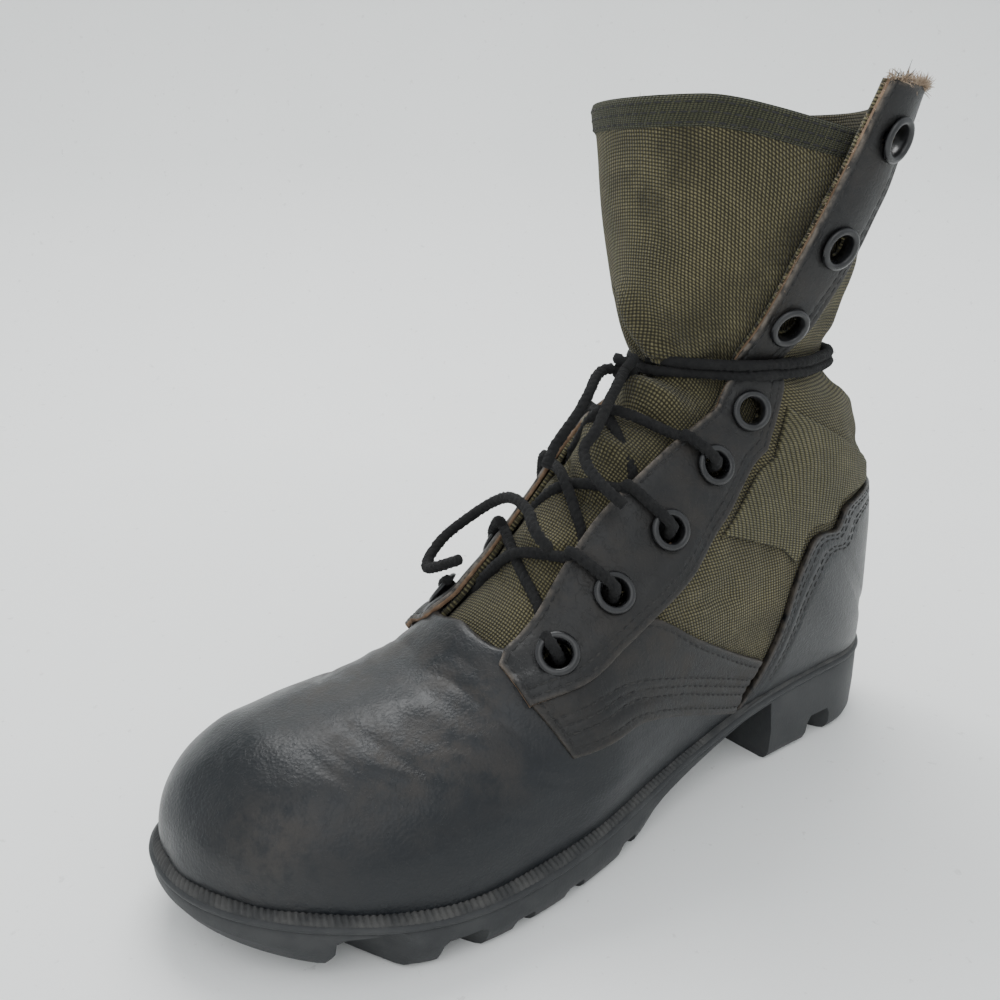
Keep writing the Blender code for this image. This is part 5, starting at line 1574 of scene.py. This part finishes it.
def knot_path():
    centre = np.array((-0.004, -0.0878, 0.1575))
    turn = np.linspace(0, 2 * math.pi, 26)
    x = 0.0028 * (np.sin(turn) + 2 * np.sin(2 * turn)) * 0.45
    z = 0.0028 * (np.cos(turn) - 2 * np.cos(2 * turn)) * 0.45
    y = -0.0022 * np.sin(3 * turn)
    return centre + np.stack((x, y, z), -1)


make_sole()
make_beads()
make_canvas()
make_vamp()
make_counter()
for each in SIDES:
    make_eyestay(each)
    make_saddle(each)
    make_patch(each)
    for i, row in enumerate(EYELET_ROWS, 1):
        make_ring(i, row, each)
make_backstay()
make_binding()
make_frays()
make_tongue()
make_laces()
for group, slot in (
    ("stitches_counter", "leather"), ("stitches_outer", "leather"), ("stitches_inner", "leather"),
    ("stitches_back", "webbing"), ("stitches_tongue", "tape"),
):
    ride(make_stitches(group), slot)

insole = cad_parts["insole"]
insole.data.materials.clear()
insole.data.materials.append(SOCK)


# Camera, stage and light
def make_camera():
    azimuth, elevation, roll = (math.radians(v) for v in (53.9376, 17.4214, -0.4764))
    back = Vector((
        math.sin(azimuth) * math.cos(elevation), -math.cos(azimuth) * math.cos(elevation), math.sin(elevation)
    ))
    right = Vector((math.cos(azimuth), math.sin(azimuth), 0))
    up = back.cross(right)
    right, up = (
        right * math.cos(roll) + up * math.sin(roll),
        up * math.cos(roll) - right * math.sin(roll),
    )
    data = bpy.data.cameras.new("camera")
    data.sensor_width = 36
    data.lens = 36
    data.clip_start = 0.01
    camera = bpy.data.objects.new("camera", data)
    turn = Matrix((right, up, back)).transposed()
    camera.matrix_world = Matrix.Translation((0.2550, -0.3320, 0.2188)) @ turn.to_4x4()
    bpy.context.scene.collection.objects.link(camera)
    bpy.context.scene.camera = camera


def make_stage():
    """A pale sheet that runs level under the boot and curves up behind it, darkened upwards by painted shade.
    """
    azimuth = math.radians(53.9)
    away = np.array((-math.sin(azimuth), math.cos(azimuth)))
    side = np.array((math.cos(azimuth), math.sin(azimuth)))
    level, bend = np.linspace(-1.6, 0.50, 22), np.linspace(0, 1, 12)[1:] * math.pi / 2
    reach = np.concatenate((level, 0.50 + 0.25 * np.sin(bend), (0.75, 0.75)))
    lift = np.concatenate((0 * level, 0.25 * (1 - np.cos(bend)), (0.8, 2.0)))
    wide = np.linspace(-2.2, 2.2, 12)
    verts = [(*(away * r + side * w + (0, -0.1)), z) for r, z in zip(reach, lift) for w in wide]
    index = np.arange(len(verts)).reshape(len(reach), len(wide))
    faces = np.stack((index[:-1, :-1], index[:-1, 1:], index[1:, 1:], index[1:, :-1]), -1).reshape(-1, 4)
    f = Finish("paper_sheet")
    tone = f.mix(f.steps(f.noise(0.25, 4, 0.5), 0.35, 0.70), (0.945, 0.95, 0.935), (0.97, 0.975, 0.96))
    # painted shade: the sheet darkens with height, towards the top of the curve behind the boot
    tone = f.mix(f.steps(f.split(f.place)[2], 0.05, 1.1), tone, (0.29, 0.31, 0.305))
    tone = f.mix(f.times(f.steps(f.noise(0.006, 3, 0.6), 0.66, 0.72), 0.25), tone, (0.42, 0.41, 0.39))
    f.set(Base_Color=tone, Normal=f.bump(f.noise(0.02, 5, 0.6), 0.0006, 0.5))
    f.fixed(Roughness=0.75)
    mesh_object("backdrop_sheet", verts, faces, [f.material])


def make_light():
    world = bpy.data.worlds.new("world")
    bpy.context.scene.world = world
    world.use_nodes = True
    world.node_tree.nodes["Background"].inputs["Color"].default_value = (0.93, 0.97, 1.0, 1.0)
    world.node_tree.nodes["Background"].inputs["Strength"].default_value = 1.10
    for name, place, aim, size, power in (
        ("top", (-0.65, 0.20, 1.10), (0.0, -0.1, 0.1), 0.9, 21.0),
        ("window", (0.75, -0.60, 1.15), (0.0, -0.1, 0.12), 1.0, 4.0),
        ("front", (0.85, -1.05, 0.50), (0.0, -0.12, 0.08), 0.5, 1.3),
    ):
        data = bpy.data.lights.new(name, "AREA")
        data.shape = "SQUARE"
        data.size = size
        data.energy = power
        lamp = bpy.data.objects.new(name, data)
        lamp.location = place
        lamp.rotation_mode = "QUATERNION"
        lamp.rotation_quaternion = (Vector(aim) - Vector(place)).to_track_quat("-Z", "Y")
        bpy.context.scene.collection.objects.link(lamp)


make_camera()
make_stage()
make_light()
